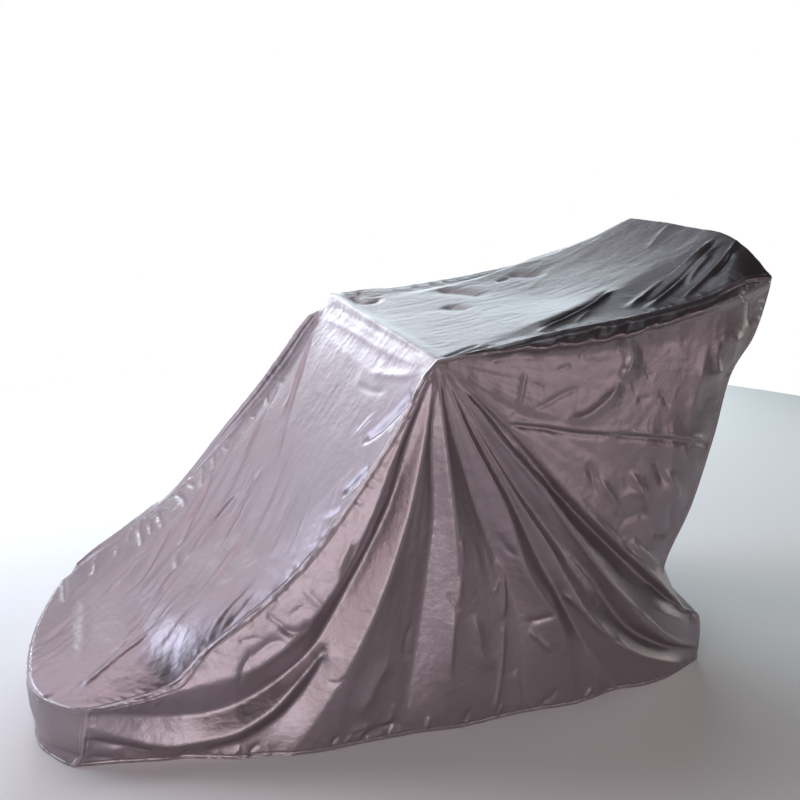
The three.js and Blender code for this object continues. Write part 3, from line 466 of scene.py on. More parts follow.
# On the strip, x is the run from the rear edge over the deck, or from the ridge over the top, and z is
# the distance across from the near seam
RIDGE_RUN = 1350.0
STRIP_WIDTH = 930.0
DECK_CREASES = creases(
    # Long thin creases from the far shoulder to the rear corner
    (1210, 900, 1090, 800, 960, 680, 830, 520, -6, 14, 22, 0.2),
    (1170, 880, 1080, 820, 990, 740, 920, 690, 4, 6, 9, 0.25),
    (1020, 890, 920, 820, 810, 745, 700, 660, -5, 8, 14, 0.25),
    (820, 585, 740, 552, 650, 490, 560, 400, -5, 8, 14, 0.25),
    (720, 592, 640, 588, 560, 540, 500, 470, 5, 6, 8, 0.2),
    (500, 470, 420, 415, 330, 330, 240, 240, 4, 6, 8, 0.15),
    (240, 240, 170, 185, 110, 140, 50, 100, 4, 6, 8, 0.15),
    (660, 830, 600, 740, 520, 650, 470, 560, -6, 7, 12, 0.2),
    (470, 560, 452, 520, 447, 480, 446, 440, -4, 6, 8, 0.25),
    (790, 880, 700, 800, 640, 770, 580, 715, -4, 7, 11, 0.25),
    (480, 730, 420, 650, 360, 560, 290, 500, -5, 7, 12, 0.25),
    (690, 395, 610, 335, 540, 270, 450, 205, 5, 7, 10, 0.25),
    (540, 352, 470, 300, 400, 268, 340, 240, 4, 6, 9, 0.25),
    (340, 240, 250, 205, 170, 155, 90, 105, 5, 6, 9, 0.2),
    (430, 470, 370, 400, 310, 325, 270, 275, -4, 6, 9, 0.25),
    (270, 275, 200, 205, 140, 160, 60, 95, -5, 6, 9, 0.2),
    (275, 640, 225, 570, 170, 520, 60, 445, 6, 12, 9, 0.25),
    (250, 600, 190, 530, 120, 490, 30, 420, -5, 10, 12, 0.25),
    (610, 60, 540, 40, 480, 20, 440, 8, -3, 6, 8),
    (640, 130, 570, 100, 510, 80, 440, 40, 3, 6, 8),
    (480, 200, 420, 170, 360, 140, 300, 118, -3, 7, 10),
    # Nose
    (146, 660, 150, 480, 142, 300, 110, 165, -2, 16, 12, 0.25),
    # Tucks from the far seam
    (10, 925, 32, 860, 60, 760, 92, 640, -5.5, 9, 12, 0.2),
    (135, 925, 160, 870, 168, 820, 170, 745, -5, 8, 11, 0.2),
    (252, 900, 256, 850, 258, 810, 258, 770, -2.2, 6, 8),
    (300, 912, 304, 880, 306, 850, 306, 820, -2.2, 6, 8),
    (344, 905, 346, 860, 350, 790, 352, 715, -5, 7, 9, 0.2),
    (384, 880, 388, 840, 390, 790, 390, 735, -3.3, 6, 8, 0.25),
    (420, 905, 426, 860, 430, 800, 436, 725, -3.3, 6, 8, 0.25),
    (505, 915, 520, 860, 528, 800, 520, 740, -3.3, 7, 10, 0.25),
    (560, 915, 570, 880, 576, 850, 580, 815, -2.8, 6, 8),
    (640, 920, 630, 880, 612, 830, 602, 780, -3.3, 6, 9, 0.25),
    (690, 922, 684, 890, 676, 860, 662, 820, -2.8, 6, 8),
    (735, 922, 736, 890, 738, 860, 744, 830, -2.2, 6, 8),
    (860, 920, 868, 895, 872, 870, 874, 845, -2.2, 6, 8),
    (950, 922, 944, 890, 936, 860, 926, 830, -2.8, 6, 9),
    (1010, 922, 1014, 900, 1016, 880, 1014, 850, -2.2, 6, 8),
    # By the near seam
    (1245, 8, 1190, 40, 1120, 85, 1060, 140, -11, 12, 15, 0.15),
    (1035, 18, 1000, 34, 960, 48, 920, 62, -9, 9, 11, 0.2),
    (910, 8, 890, 25, 865, 45, 840, 62, -4, 8, 9),
    (1160, 150, 1130, 165, 1100, 185, 1050, 205, 3, 6, 8),
    (1215, 150, 1190, 230, 1180, 300, 1175, 380, -3, 8, 10),
    (1290, 20, 1262, 130, 1240, 240, 1225, 340, 4, 10, 14, 0.25),
    # Under the ridge
    (1340, 40, 1334, 330, 1326, 620, 1314, 915, -4, 7, 8, 0.12),
    (1310, 10, 1298, 280, 1285, 600, 1262, 915, 4, 14, 18, 0.15),
)
TOP_CREASES = creases(
    # Fan at the handle corner
    (10, 8, 50, 30, 90, 50, 140, 60, -6, 7, 9, 0.2),
    (20, 4, 70, 12, 110, 20, 160, 30, -5, 6, 7, 0.2),
    # Thin ridge along the near slope, and the valley above it
    (270, 25, 400, 90, 500, 145, 650, 250, 9, 8, 8, 0.2),
    (290, 60, 410, 118, 510, 178, 640, 272, -10, 13, 11, 0.25),
    (400, 40, 432, 72, 465, 100, 500, 130, 4, 9),
    (560, 60, 680, 135, 840, 198, 1020, 240, 11, 12, 11, 0.2),
    (600, 30, 750, 105, 880, 163, 1000, 200, 10, 10, 10, 0.2),
    (640, 75, 770, 130, 900, 180, 1010, 225, -9, 9, 10, 0.2),
    (700, 20, 820, 70, 950, 120, 1060, 190, 8, 8, 9, 0.2),
    (780, 90, 840, 126, 895, 150, 950, 170, 5, 9),
    (850, 60, 905, 82, 955, 108, 1000, 150, -7, 9, 10),
    (620, 100, 740, 160, 860, 212, 990, 250, -9, 11, 12, 0.25),
    # Soft shadows of the far part
    (300, 870, 352, 792, 390, 690, 415, 610, -9, 26, 30),
    (550, 800, 585, 758, 615, 705, 640, 650, -7, 22, 26),
    (500, 768, 520, 764, 540, 762, 560, 766, -5, 16),
    (250, 620, 262, 588, 278, 545, 300, 500, -7, 24, 26),
    (60, 930, 78, 850, 112, 848, 150, 902, -7, 14),
    (880, 430, 940, 470, 1000, 500, 1040, 530, 3, 14),
)

# A crease's reach in widths, the power of its fall to each side, and the points along it
CREASE_REACH = 3.2
CREASE_POWER = 1.5
CREASE_POINTS = 15

# Fine relief on two coordinates, a and b: sizes of its cells, shifts in cells, slant of b along a.
# Where it is crisp, its facets meet in thin creases.
RELIEF = table(
    "where height a_size a_shift b_size b_shift slant seed crisp",
    ("near", 1.1, 62, 5, 62, 9, 0, 21, False),
    ("near", 0.9, 74, 3, 96, 7, 0.5, 22, True),
    ("near", 0.35, 31, 8, 40, 2, -0.4, 23, True),
    ("far", 1.82, 70, 5, 70, 9, 0, 51, False),
    ("far", 0.84, 30, 3, 30, 7, 0, 52, False),
    ("deck", 1.1, 64, 9, 420, 2, 0, 63, True),
    ("deck", 0.5, 27, 4, 190, 5, 0, 64, True),
    ("strip", 1.0, 120, 0, 90, 4, 0, 61, False),
    ("strip", 0.4, 70, 2, 40, 0, 0, 62, True),
    ("rear", 2.5, 80, 0, 60, 4, 0, 71, False),
    ("rear", 1.0, 30, 2, 40, 0, 0, 72, False),
    ("seam", 1.5, 13, 0, 60, 0, 0, 81, False),
    ("seam", 0.9, 31, 0, 80, 0, 0, 82, False),
)
NOISE_CELLS = 64
FACET_DEPTH = 2.6

# Wrinkles that fan out from the handle end at x, z: their width at FAN_RADIUS, and height. They are
# FAN_LENGTH times as long as wide, and rise over FAN_START.
FANS = table(
    "where x z seed width height",
    ("near", 8, 990, 11, 46, 2.0),
    ("near", 8, 990, 12, 22, 0.8),
    ("far", -4, 992, 41, 52, 3.4),
    ("far", -4, 992, 42, 24, 1.3),
)
FAN_RADIUS = 700.0
FAN_SHIFT = (31.7, 11.3)
FAN_LENGTH = 7.0
FAN_START = 260.0

# The near side's plain wall starts past a slanting line through x, z, over PLAIN_WIDTH. It keeps
# PLAIN_FAN of the fans, and the folded part keeps FOLDED_CRUMPLE of the crumples.
PLAIN_X = 150.0
PLAIN_Z = 760.0
PLAIN_SLOPE = 0.9
PLAIN_WIDTH = 300.0
PLAIN_FAN = 0.3
FOLDED_CRUMPLE = 0.5

# Streaks of the deck: direction, where they thin out on the slope and to what share, and where they
# end below the ridge
STREAK_RUN = 0.8
STREAK_ACROSS = 0.6
STREAK_THIN_START = 800.0
STREAK_THIN_WIDTH = 300.0
STREAK_THIN = 0.25
STREAK_END = RIDGE_RUN - 130.0
STREAK_END_WIDTH = 100.0

# Puckers beside a seam: distance where they stand highest, and how far they die away beyond it.
# EDGE_FADE is the distance over which the strip's own relief starts from a seam.
PUCKER_START = 8.0
PUCKER_REACH = 34.0
EDGE_FADE = 10.0

# Stitches beside the seams and hems, in metres: distance from the seam, step, share of a step that a
# stitch fills, half width of a stitch and of the groove that it pulls, and width of the worn edge
STITCH_GAP = 0.009
STITCH_STEP = 0.0062
STITCH_SHARE = 0.64
STITCH_WIDTH = 0.0011
GROOVE_WIDTH = 0.004
WEAR_WIDTH = 0.006

# Colours of the cloth, and shares of the weave, of the wear and of a stitch against its groove
CLOTH_COLOUR = (0.30, 0.255, 0.275, 1.0)
WARM_COLOUR = (0.36, 0.305, 0.33, 1.0)
THREAD_COLOUR = (0.50, 0.45, 0.47, 1.0)
WORN_COLOUR = (0.50, 0.46, 0.48, 1.0)
WEAVE_SHARE = 0.14
WEAR_SHARE = 0.6
STITCH_RISE = 0.6

# Cells to the metre of the cloth's blotches, and of its weave along and across the thread, with
# their detail
BLOTCH_CELLS = (5.0, 5.0, 5.0)
BLOTCH_DETAIL = 4.0
WEAVE_CELLS = (900.0, 160.0, 1.0)
WEAVE_DETAIL = 2.0

# Bumps of the cloth: cells to the metre, detail, strength and height in metres. Weave and
# stitches have a strength and a height too.
CLOTH_BUMPS = table(
    "cells detail strength height",
    (52.0, 3.0, 0.35, 0.004),
    (330.0, 2.0, 0.22, 0.0012),
)
WEAVE_BUMP = (0.2, 0.0004)
STITCH_BUMP = (0.8, 0.0016)
ROUGHNESS = (0.34, 0.44)
METALLIC = 0.85
SPECULAR = 0.6

# Floor and lights. Soft windows stand round the cover: azimuth from +X towards +Y and elevation of each
# light, in degrees, its width and height in metres, and its colour.
FLOOR_RADIUS = 3.7
FLOOR_CORNERS = 96
FLOOR_LEVEL = -0.001
LIGHT_TARGET = (0.0, 0.0, 0.5)
LIGHT_RANGE = 4.2
LIGHT_POWER = 300.0
LIGHTS = table(
    "name azimuth elevation width height red green blue",
    ("right", 0, 11, 2.0, 2.2, 0.075, 0.076, 0.070),
    ("back_right", 60, 11, 2.0, 2.2, 0.140, 0.167, 0.175),
    ("back", 90, 11, 2.0, 2.2, 0.350, 0.396, 0.430),
    ("back_left_low", 120, 11, 2.0, 2.2, 0.029, 0.024, 0.025),
    ("back_left", 150, 11, 2.0, 2.2, 0.210, 0.243, 0.290),
    ("front_left", 210, 11, 2.0, 2.2, 0.089, 0.074, 0.076),
    ("front", 240, 11, 2.0, 2.2, 0.152, 0.142, 0.146),
    ("front_right", 300, 11, 2.0, 2.2, 0.069, 0.060, 0.062),
    ("back_middle", 90, 36, 2.4, 2.0, 0.040, 0.042, 0.042),
    ("back_left_middle", 135, 36, 2.4, 2.0, 0.080, 0.076, 0.084),
    ("back_left_high", 120, 62, 1.8, 1.8, 0.109, 0.092, 0.096),
    ("back_right_high", 60, 62, 1.8, 1.8, 0.022, 0.030, 0.031),
)


def smooth(value):
    share = np.clip(value, 0.0, 1.0)
    return share * share * (3.0 - 2.0 * share)


def mix(low, high, share):
    return low + (high - low) * share


def arch(share):
    return 1.0 - (2.0 * share - 1.0) ** 2


def spline(points, steps=60):
    """Centripetal Catmull-Rom curve through points, as a dense polyline."""
    inner = np.asarray(points, float)
    ends = np.vstack([2 * inner[0] - inner[1], inner, 2 * inner[-1] - inner[-2]])
    share = np.linspace(0.0, 1.0, steps, endpoint=False)[:, None]
    spans = []
    for i in range(1, len(ends) - 2):
        before, start, end, after = ends[i - 1 : i + 3]
        first = np.linalg.norm(start - before) ** 0.5
        middle = np.linalg.norm(end - start) ** 0.5
        last = np.linalg.norm(after - end) ** 0.5
        steep = (start - before) / first - (end - before) / (first + middle) + (end - start) / middle
        shallow = (end - start) / middle - (after - start) / (middle + last) + (after - end) / last
        out, into = steep * middle, shallow * middle
        cubic = 2 * start - 2 * end + out + into
        square = -3 * start + 3 * end - 2 * out - into
        spans.append(start + out * share + square * share**2 + cubic * share**3)
    return np.vstack(spans + [inner[-1:]])


def along(line, shares):
    """Points of a polyline at shares of its length."""
    steps = np.linalg.norm(np.diff(line, axis=0), axis=1)
    length = np.concatenate([[0.0], np.cumsum(steps)])
    places = np.asarray(shares) * length[-1]
    return np.stack([np.interp(places, length, line[:, k]) for k in range(line.shape[1])], -1)


def blurred(field, *softness):
    """A field blurred by a bell curve along its rows and columns, softness in cells, borders repeated."""
    for axis in (0, 1):
        reach = int(math.ceil(3 * softness[axis]))
        offsets = np.arange(-reach, reach + 1)
        weights = np.exp(-0.5 * (offsets / softness[axis]) ** 2)
        weights /= weights.sum()
        pad = [(0, 0)] * field.ndim
        pad[axis] = (reach, reach)
        wide = np.pad(field, pad, mode="edge")
        places = np.arange(field.shape[axis]) + reach
        field = sum(
            weight * np.take(wide, places + offset, axis=axis) for offset, weight in zip(offsets, weights)
        )
    return field


def value_noise(x, z, seed):
    """Smooth noise of about -1 to 1, one cell to a unit."""
    lattice = np.random.default_rng(seed).uniform(-1.0, 1.0, (NOISE_CELLS, NOISE_CELLS))
    left = np.floor(x).astype(int)
    low = np.floor(z).astype(int)
    across = smooth(x - left)

    def row(j):
        starts = lattice[(low + j) % NOISE_CELLS, left % NOISE_CELLS]
        ends = lattice[(low + j) % NOISE_CELLS, (left + 1) % NOISE_CELLS]
        return mix(starts, ends, across)

    return mix(row(0), row(1), smooth(z - low))


def relief(where, a, b):
    """Sum of the noises of one place at coordinates a and b."""
    total = np.zeros_like(a)
    for row in RELIEF:
        if row["where"] == where:
            down = (b + row["slant"] * a) / row["b_size"] + row["b_shift"]
            value = value_noise(a / row["a_size"] + row["a_shift"], down, row["seed"])
            total += row["height"] * (1.0 - FACET_DEPTH * np.abs(value) if row["crisp"] else value)
    return total


def fan(where, x, z):
    """Wrinkles that fan out from the handle end: noise by direction, slow along the run."""
    total = np.zeros_like(x)
    for row in FANS:
        if row["where"] == where:
            run = np.hypot(x - row["x"], z - row["z"])
            turn = np.arctan2(x - row["x"], row["z"] - z)
            cells = turn * FAN_RADIUS / row["width"] + FAN_SHIFT[0]
            down = run / (row["width"] * FAN_LENGTH) + FAN_SHIFT[1]
            total += row["height"] * value_noise(cells, down, row["seed"]) * smooth(run / FAN_START)
    return total


def near_relief(x, z):
    share = smooth((x - PLAIN_X + (z - PLAIN_Z) * PLAIN_SLOPE) / PLAIN_WIDTH)
    fans = fan("near", x, z) * mix(1.0, PLAIN_FAN, share)
    return fans + relief("near", x, z) * mix(FOLDED_CRUMPLE, 1.0, share)


def far_relief(x, z):
    return fan("far", x, z) + relief("far", x, z)


def strip_relief(run, across):
    """Long thin creases that run from the far shoulder to the near rear corner, and soft waves."""
    down = STREAK_RUN * run + STREAK_ACROSS * across
    sideways = STREAK_ACROSS * run - STREAK_RUN * across
    deck = 1.0 - smooth((run - STREAK_END) / STREAK_END_WIDTH)
    thin = mix(1.0, STREAK_THIN, smooth((run - STREAK_THIN_START) / STREAK_THIN_WIDTH))
    return relief("deck", sideways, down) * deck * thin + relief("strip", run, across)


def seam_puckers(seams):
    """Small gathers beside a seam or hem, dying away into the cloth."""
    run, gap = seams[:, 0], seams[:, 1]
    fade = smooth(gap / PUCKER_START) * (1.0 - smooth((gap - PUCKER_START) / PUCKER_REACH))
    return relief("seam", run, gap) * fade


def line_place(x, z, line, reach):
    """Points within reach of a polyline's box: which, their gap to it, share of its run and side of it."""
    inside = (x > line[:, 0].min() - reach) & (x < line[:, 0].max() + reach)
    inside &= (z > line[:, 1].min() - reach) & (z < line[:, 1].max() + reach)
    spots = np.flatnonzero(inside)
    px, pz = x[spots], z[spots]
    gap = np.full(len(spots), 1e9)
    share = np.zeros(len(spots))
    side = np.zeros(len(spots))
    for k in range(len(line) - 1):
        ax, az = line[k]
        dx, dz = line[k + 1] - line[k]
        at = np.clip(((px - ax) * dx + (pz - az) * dz) / (dx * dx + dz * dz), 0.0, 1.0)
        far = np.hypot(px - ax - at * dx, pz - az - at * dz)
        nearer = far < gap
        gap = np.where(nearer, far, gap)
        share = np.where(nearer, (k + at) / (len(line) - 1), share)
        side = np.where(nearer, dx * (pz - az) - dz * (px - ax), side)
    return spots, gap, share, side


def crease_height(x, z, rows):
    """Sum of the creases' soft ridges and troughs at points x, z."""
    height = np.zeros_like(x)
    for crease in rows:
        corners = [(crease[f"x{k}"], crease[f"z{k}"]) for k in (1, 2, 3, 4)]
        line = along(spline(corners, 12), np.linspace(0.0, 1.0, CREASE_POINTS))
        reach = CREASE_REACH * max(crease["left"], crease["right"])
        spots, gap, run, side = line_place(x, z, line, reach)
        width = np.where(side > 0, crease["left"], crease["right"])
        profile = np.exp(-((gap / width) ** CREASE_POWER))
        ends = smooth(run / crease["fade"]) * smooth((1.0 - run) / crease["fade"])
        height[spots] += crease["out"] * profile * ends
    return height


def line_distance(x, z, line, reach, count):
    """Distance of points x, z to a line, up to reach, and the nearest share of its run."""
    spots, gap, share, _ = line_place(x, z, along(line, np.linspace(0.0, 1.0, count)), reach)
    gaps = np.full(len(x), reach)
    shares = np.zeros(len(x))
    gaps[spots] = np.minimum(gap, reach)
    shares[spots] = share
    return gaps, shares


def row_at(rows, key, values):
    """Table columns at given values of the key column."""
    columns = {name: np.array([row[name] for row in rows], float) for name in rows[0]}
    return {name: np.interp(values, columns[key], places) for name, places in columns.items()}


def wall_reach(panel, x, z):
    wall = row_at(panel["wall"], "x", x)
    return mix(wall["hem"], wall["top"], np.clip(z / wall["top_z"], 0.0, 1.0))


def seam_line(rows, steps):
    points = [(row["x"], row["reach"], row["z"]) for row in rows]
    return along(spline(points), np.linspace(0.0, 1.0, steps + 1))


def corner_turn(row):
    return row["turn"] * smooth((LINE_SHARES - CORNER_TURN_START) / (1.0 - CORNER_TURN_START))


def fold_line(panel, fold):
    """x, z and offset from the wall along a fold line."""
    start = panel["deck_seam"][0]
    corners = [(start["x"], start["z"])]
    corners += [(fold["x" + key], fold["z" + key]) for key in "123e"]
    rise = smooth(LINE_SHARES / fold["rise"])
    settle = smooth((LINE_SHARES - FOLD_SETTLE_START) / (1.0 - FOLD_SETTLE_START))
    out = mix(fold["out"], fold["edge"], settle) * rise - corner_turn(fold)
    return np.column_stack([along(spline(corners), LINE_SHARES), out])


def form_line(form):
    """x, z and offset from the wall along a crest or valley."""
    places = [(form[f"x{k}"], form[f"z{k}"], form[f"out{k}"]) for k in range(1, 8)]
    line = along(spline(places), LINE_SHARES)
    line[:, 2] -= corner_turn(form)
    return line


def spaced(points):
    """Points of a border with any that crowd the one before them left out, ends kept."""
    kept = [points[0]]
    for point in points[1:-1]:
        if min(math.dist(point, kept[-1]), math.dist(point, points[-1])) > END_GAP:
            kept.append(point)
    return kept + [points[-1]]


def borders(panel):
    """Border curves of a side panel as x, reach, z: deck seam, rear edge, front edge, rail seam."""

    def end_point(row):
        reach = wall_reach(panel, row["xe"], row["ze"]) + row["edge"] - row["turn"]
        return (row["xe"], float(reach), row["ze"])

    deck = seam_line(panel["deck_seam"], DECK_STEPS)
    rail = seam_line(panel["rail_seam"], TOP_STEPS)
    rear_points = [tuple(deck[-1])] + [end_point(row) for row in panel["rear_ends"]]
    front_points = [end_point(row) for row in panel["front_ends"]] + [tuple(rail[-1])]
    rear = along(spline(spaced(rear_points)), np.linspace(0.0, 1.0, REAR_STEPS + 1))
    front = along(spline(spaced(front_points)), np.linspace(0.0, 1.0, FRONT_STEPS + 1))
    return {"deck": deck, "rear": rear, "front": front, "rail": rail}


def fold_field(panel, lines, border):
    """Offsets from the wall on the raster: straight between the fold lines, softened."""
    total = np.zeros((RASTER_ROWS, RASTER_COLUMNS))
    count = np.zeros_like(total)

    def pin(x, z, out):
        i = np.clip(np.round((x - RASTER_X) / RASTER).astype(int), 0, RASTER_COLUMNS - 1)
        j = np.clip(np.round((z - RASTER_Z) / RASTER).astype(int), 0, RASTER_ROWS - 1)
        np.add.at(total, (j, i), out)
        np.add.at(count, (j, i), 1.0)

    for line in lines:
        pin(*line.T)
    for edge in border.values():
        x, reach, z = along(edge, LINE_SHARES).T
        pin(x, z, reach - wall_reach(panel, x, z))
    field = None
    for step in FIELD_STEPS:
        rows = -(-RASTER_ROWS // step) * step
        columns = -(-RASTER_COLUMNS // step) * step
        pad = ((0, rows - RASTER_ROWS), (0, columns - RASTER_COLUMNS))
        blocks = (rows // step, step, columns // step, step)
        sums = np.pad(total, pad).reshape(blocks).sum((1, 3))
        counts = np.pad(count, pad).reshape(blocks).sum((1, 3))
        held = counts > 0
        values = sums / np.maximum(counts, 1.0)
        if field is None:
            field = np.zeros_like(values)
        else:
            field = np.repeat(np.repeat(field, 2, 0), 2, 1)[: values.shape[0], : values.shape[1]]
        for _ in range(FIELD_ROUNDS):
            field[held] = values[held]
            wide = np.pad(field, 1, mode="edge")
            field = 0.25 * (wide[:-2, 1:-1] + wide[2:, 1:-1] + wide[1:-1, :-2] + wide[1:-1, 2:])
        field[held] = values[held]
    return blurred(field, FOLD_SOFTNESS / RASTER, FOLD_SOFTNESS / RASTER)


def field_at(field, x, z):
    """Values of a raster field at points x, z."""
    i = np.clip((x - RASTER_X) / RASTER, 0, RASTER_COLUMNS - 1.001)
    j = np.clip((z - RASTER_Z) / RASTER, 0, RASTER_ROWS - 1.001)
    left = i.astype(int)
    low = j.astype(int)
    bottom = mix(field[low, left], field[low, left + 1], i - left)
    top = mix(field[low + 1, left], field[low + 1, left + 1], i - left)
    return mix(bottom, top, j - low)


def fill_points(outline, pitch):
    """Points of a triangular lattice inside an outline, clear of its border."""
    starts = outline
    ends = np.roll(outline, -1, axis=0)
    row_gap = pitch * math.sqrt(3) / 2
    points = []
    level = outline[:, 1].min() + row_gap * 0.5
    shift = 0.0
    while level < outline[:, 1].max():
        crossing = (starts[:, 1] <= level) != (ends[:, 1] <= level)
        a, b = starts[crossing], ends[crossing]
        hits = np.sort(a[:, 0] + (level - a[:, 1]) * (b[:, 0] - a[:, 0]) / (b[:, 1] - a[:, 1]))
        close = outline[np.abs(outline[:, 1] - level) < pitch]
        for left, right in zip(hits[::2], hits[1::2]):
            xs = np.arange(math.ceil((left - shift) / pitch) * pitch + shift, right, pitch)
            gaps = np.hypot(xs[:, None] - close[None, :, 0], level - close[None, :, 1])
            xs = xs[gaps.min(1, initial=pitch) > BORDER_CLEAR * pitch]
            points.append(np.column_stack([xs, np.full(len(xs), level)]))
        level += row_gap
        shift = pitch / 2 - shift
    return np.vstack(points)


def seam_coordinates(x, z, border):
    """Run along the nearest border of a side panel, and distance from it, in millimetres."""
    hem = np.array([(border["rear"][-1][0], 0.0), (border["front"][0][0], 0.0)])
    best = np.full(len(x), SEAM_REACH)
    run = np.zeros(len(x))
    for line in [edge[:, [0, 2]] for edge in border.values()] + [hem]:
        gap, share = line_distance(x, z, line, SEAM_REACH, SEAM_POINTS)
        length = np.linalg.norm(np.diff(line, axis=0), axis=1).sum()
        run = np.where(gap < best, share * length, run)
        best = np.minimum(gap, best)
    return np.column_stack([run, best])


def crown(x, z, line, rows, top, foot, upward):
    """Shifts in x, z and reach that lift the cloth past a seam, in a rounded lip along it."""
    gap, share = line_distance(x, z, line, foot, CROWN_POINTS)
    row = row_at(rows, "at", share)
    rise = np.sin(0.5 * math.pi * np.clip(gap / top, 0.0, 1.0))
    fall = 1.0 - smooth((gap - top) / (foot - top))
    after = along(line, np.clip(share + CROWN_STEP, 0.0, 1.0))
    step = after - along(line, np.clip(share - CROWN_STEP, 0.0, 1.0))
    normal = np.column_stack([-step[:, 1], step[:, 0]]) * upward
    normal /= np.linalg.norm(normal, axis=1, keepdims=True)
    lift = row["height"] * rise * fall
    return lift * normal[:, 0], lift * normal[:, 1], row["out"] * rise * fall


def make_mesh(name, places, triangles, facing, uvs, seams):
    """A smooth mesh object that faces a direction on the whole, from places and uvs in millimetres."""
    first, second, third = (places[triangles[:, k]] for k in range(3))
    if np.dot(np.cross(second - first, third - first).sum(0), facing) < 0:
        triangles = triangles[:, ::-1]
    mesh = bpy.data.meshes.new(name)
    mesh.from_pydata((places * MM).tolist(), [], triangles.tolist())
    mesh.shade_smooth()
    corners = np.zeros(len(mesh.loops), int)
    mesh.loops.foreach_get("vertex_index", corners)
    for layer_name, values in (("cloth", uvs), ("seam", seams)):
        layer = mesh.uv_layers.new(name=layer_name)
        layer.data.foreach_set("uv", (values[corners] * MM).astype(np.float32).ravel())
    obj = bpy.data.objects.new(name, mesh)
    bpy.context.scene.collection.objects.link(obj)
    return obj


def side_panel(name, panel, lines, border, pitch, folds_on_it, noise, crowns=()):
    """One side panel: triangles in its own plane, set out by the folds and creases."""
    hem_steps = int((border["front"][0][0] - border["rear"][-1][0]) / (pitch * HEM_PITCH))
    hem_x = np.linspace(border["rear"][-1][0], border["front"][0][0], hem_steps + 1)[1:-1]
    hem = np.column_stack([hem_x, np.zeros_like(hem_x), np.zeros_like(hem_x)])
    ring = np.vstack([
        border["deck"], border["rear"][1:], hem, border["front"], border["rail"][::-1][1:-1],
    ])
    hem_first = len(border["deck"]) + len(border["rear"]) - 1
    outline = ring[:, [0, 2]]
    count = len(outline)
    flat = np.vstack([outline, fill_points(outline, pitch)])
    loop = [(i, (i + 1) % count) for i in range(count)]
    found = delaunay_2d_cdt([Vector(spot) for spot in flat.tolist()], loop, [], 1, 1e-6)
    spots = np.array([tuple(spot) for spot in found[0]])
    x, z = spots[:, 0], spots[:, 1]
    seams = seam_coordinates(x, z, border)
    out = field_at(fold_field(panel, lines, border), x, z) + noise(x, z)
    out += crease_height(x, z, folds_on_it) + seam_puckers(seams)
    places = np.column_stack([x, wall_reach(panel, x, z) + out, z])
    for seam, rows, upward in crowns:
        line = border[seam][:, [0, 2]]
        shift = crown(x, z, line, rows, CROWN_TOP[seam], CROWN_FOOT[seam], upward)
        places += np.column_stack([shift[0], shift[2], shift[1]])
    # Sewn borders keep their seam's own line
    for index, sources in enumerate(found[3]):
        if sources and sources[0] < count:
            if not hem_first <= sources[0] < hem_first + len(hem):
                places[index] = ring[sources[0]]
    places[:, 1] *= panel["side"]
    return make_mesh(name, places, np.array(found[2]), (0, panel["side"], 0), spots, seams)


def bulge(form, share):
    near = np.clip((form["peak"] - share) / form["peak"], 0.0, 1.0) ** form["near_power"]
    far = np.clip((share - form["peak"]) / (1.0 - form["peak"]), 0.0, 1.0) ** form["far_power"]
    return 1.0 - near - far


def strip_rows(near, far, section, across):
    """Rows of the strip between points of the near and far seams."""
    a = across[None, :]
    part = {name: values[:, None] for name, values in section.items()}
    near_part = np.clip(a / part["near_share"], 0.0, 1.0)
    flat_part = np.clip((a - part["near_share"]) / (part["far_share"] - part["near_share"]), 0.0, 1.0)
    far_part = np.clip((a - part["far_share"]) / (1.0 - part["far_share"]), 0.0, 1.0)
    slope = part["near_lift"] * near_part + part["slope_lift"] * arch(near_part)
    flat = mix(part["near_lift"], part["far_lift"], flat_part) + part["mid_lift"] * arch(flat_part)
    fall = part["far_lift"] * (1.0 - far_part)
    rows = near[:, None, :] + (far - near)[:, None, :] * a[..., None]
    push = part["push"]
    rows[..., 0] += np.where(push < 0, push * bulge(REAR_BULGE, a), push * bulge(FRONT_BULGE, a))
    rows[..., 2] += np.where(a <= part["near_share"], slope, np.where(a <= part["far_share"], flat, fall))
    return rows


def seam_points(line, side):
    """Border points x, reach, z as x, y, z."""
    return line * np.array([1.0, side, 1.0])


def soften_grid(grid):
    """The strip's grid softened over its shoulders and ridges, its four edges kept."""
    spacing = STRIP_WIDTH / ACROSS_STEPS
    soft = blurred(grid, RIDGE_SOFTNESS / spacing, SHOULDER_SOFTNESS / spacing)
    across = np.arange(grid.shape[1])
    edge = np.minimum(across, grid.shape[1] - 1 - across) * spacing
    soft = mix(grid, soft, smooth(edge / (SOFT_FROM_SEAM * SHOULDER_SOFTNESS))[None, :, None])
    soft[:, [0, -1]] = grid[:, [0, -1]]
    soft[[0, -1]] = grid[[0, -1]]
    return soft


def strip_seams(run, across, length):
    """Seam coordinates on a piece as wide as the strip, and the distances to its sides and its ends."""
    edge = np.minimum(across, STRIP_WIDTH - across)
    ends = np.minimum(run, length - run)
    seams = np.column_stack([np.where(edge < ends, run, across), np.minimum(edge, ends)])
    return seams, edge, ends


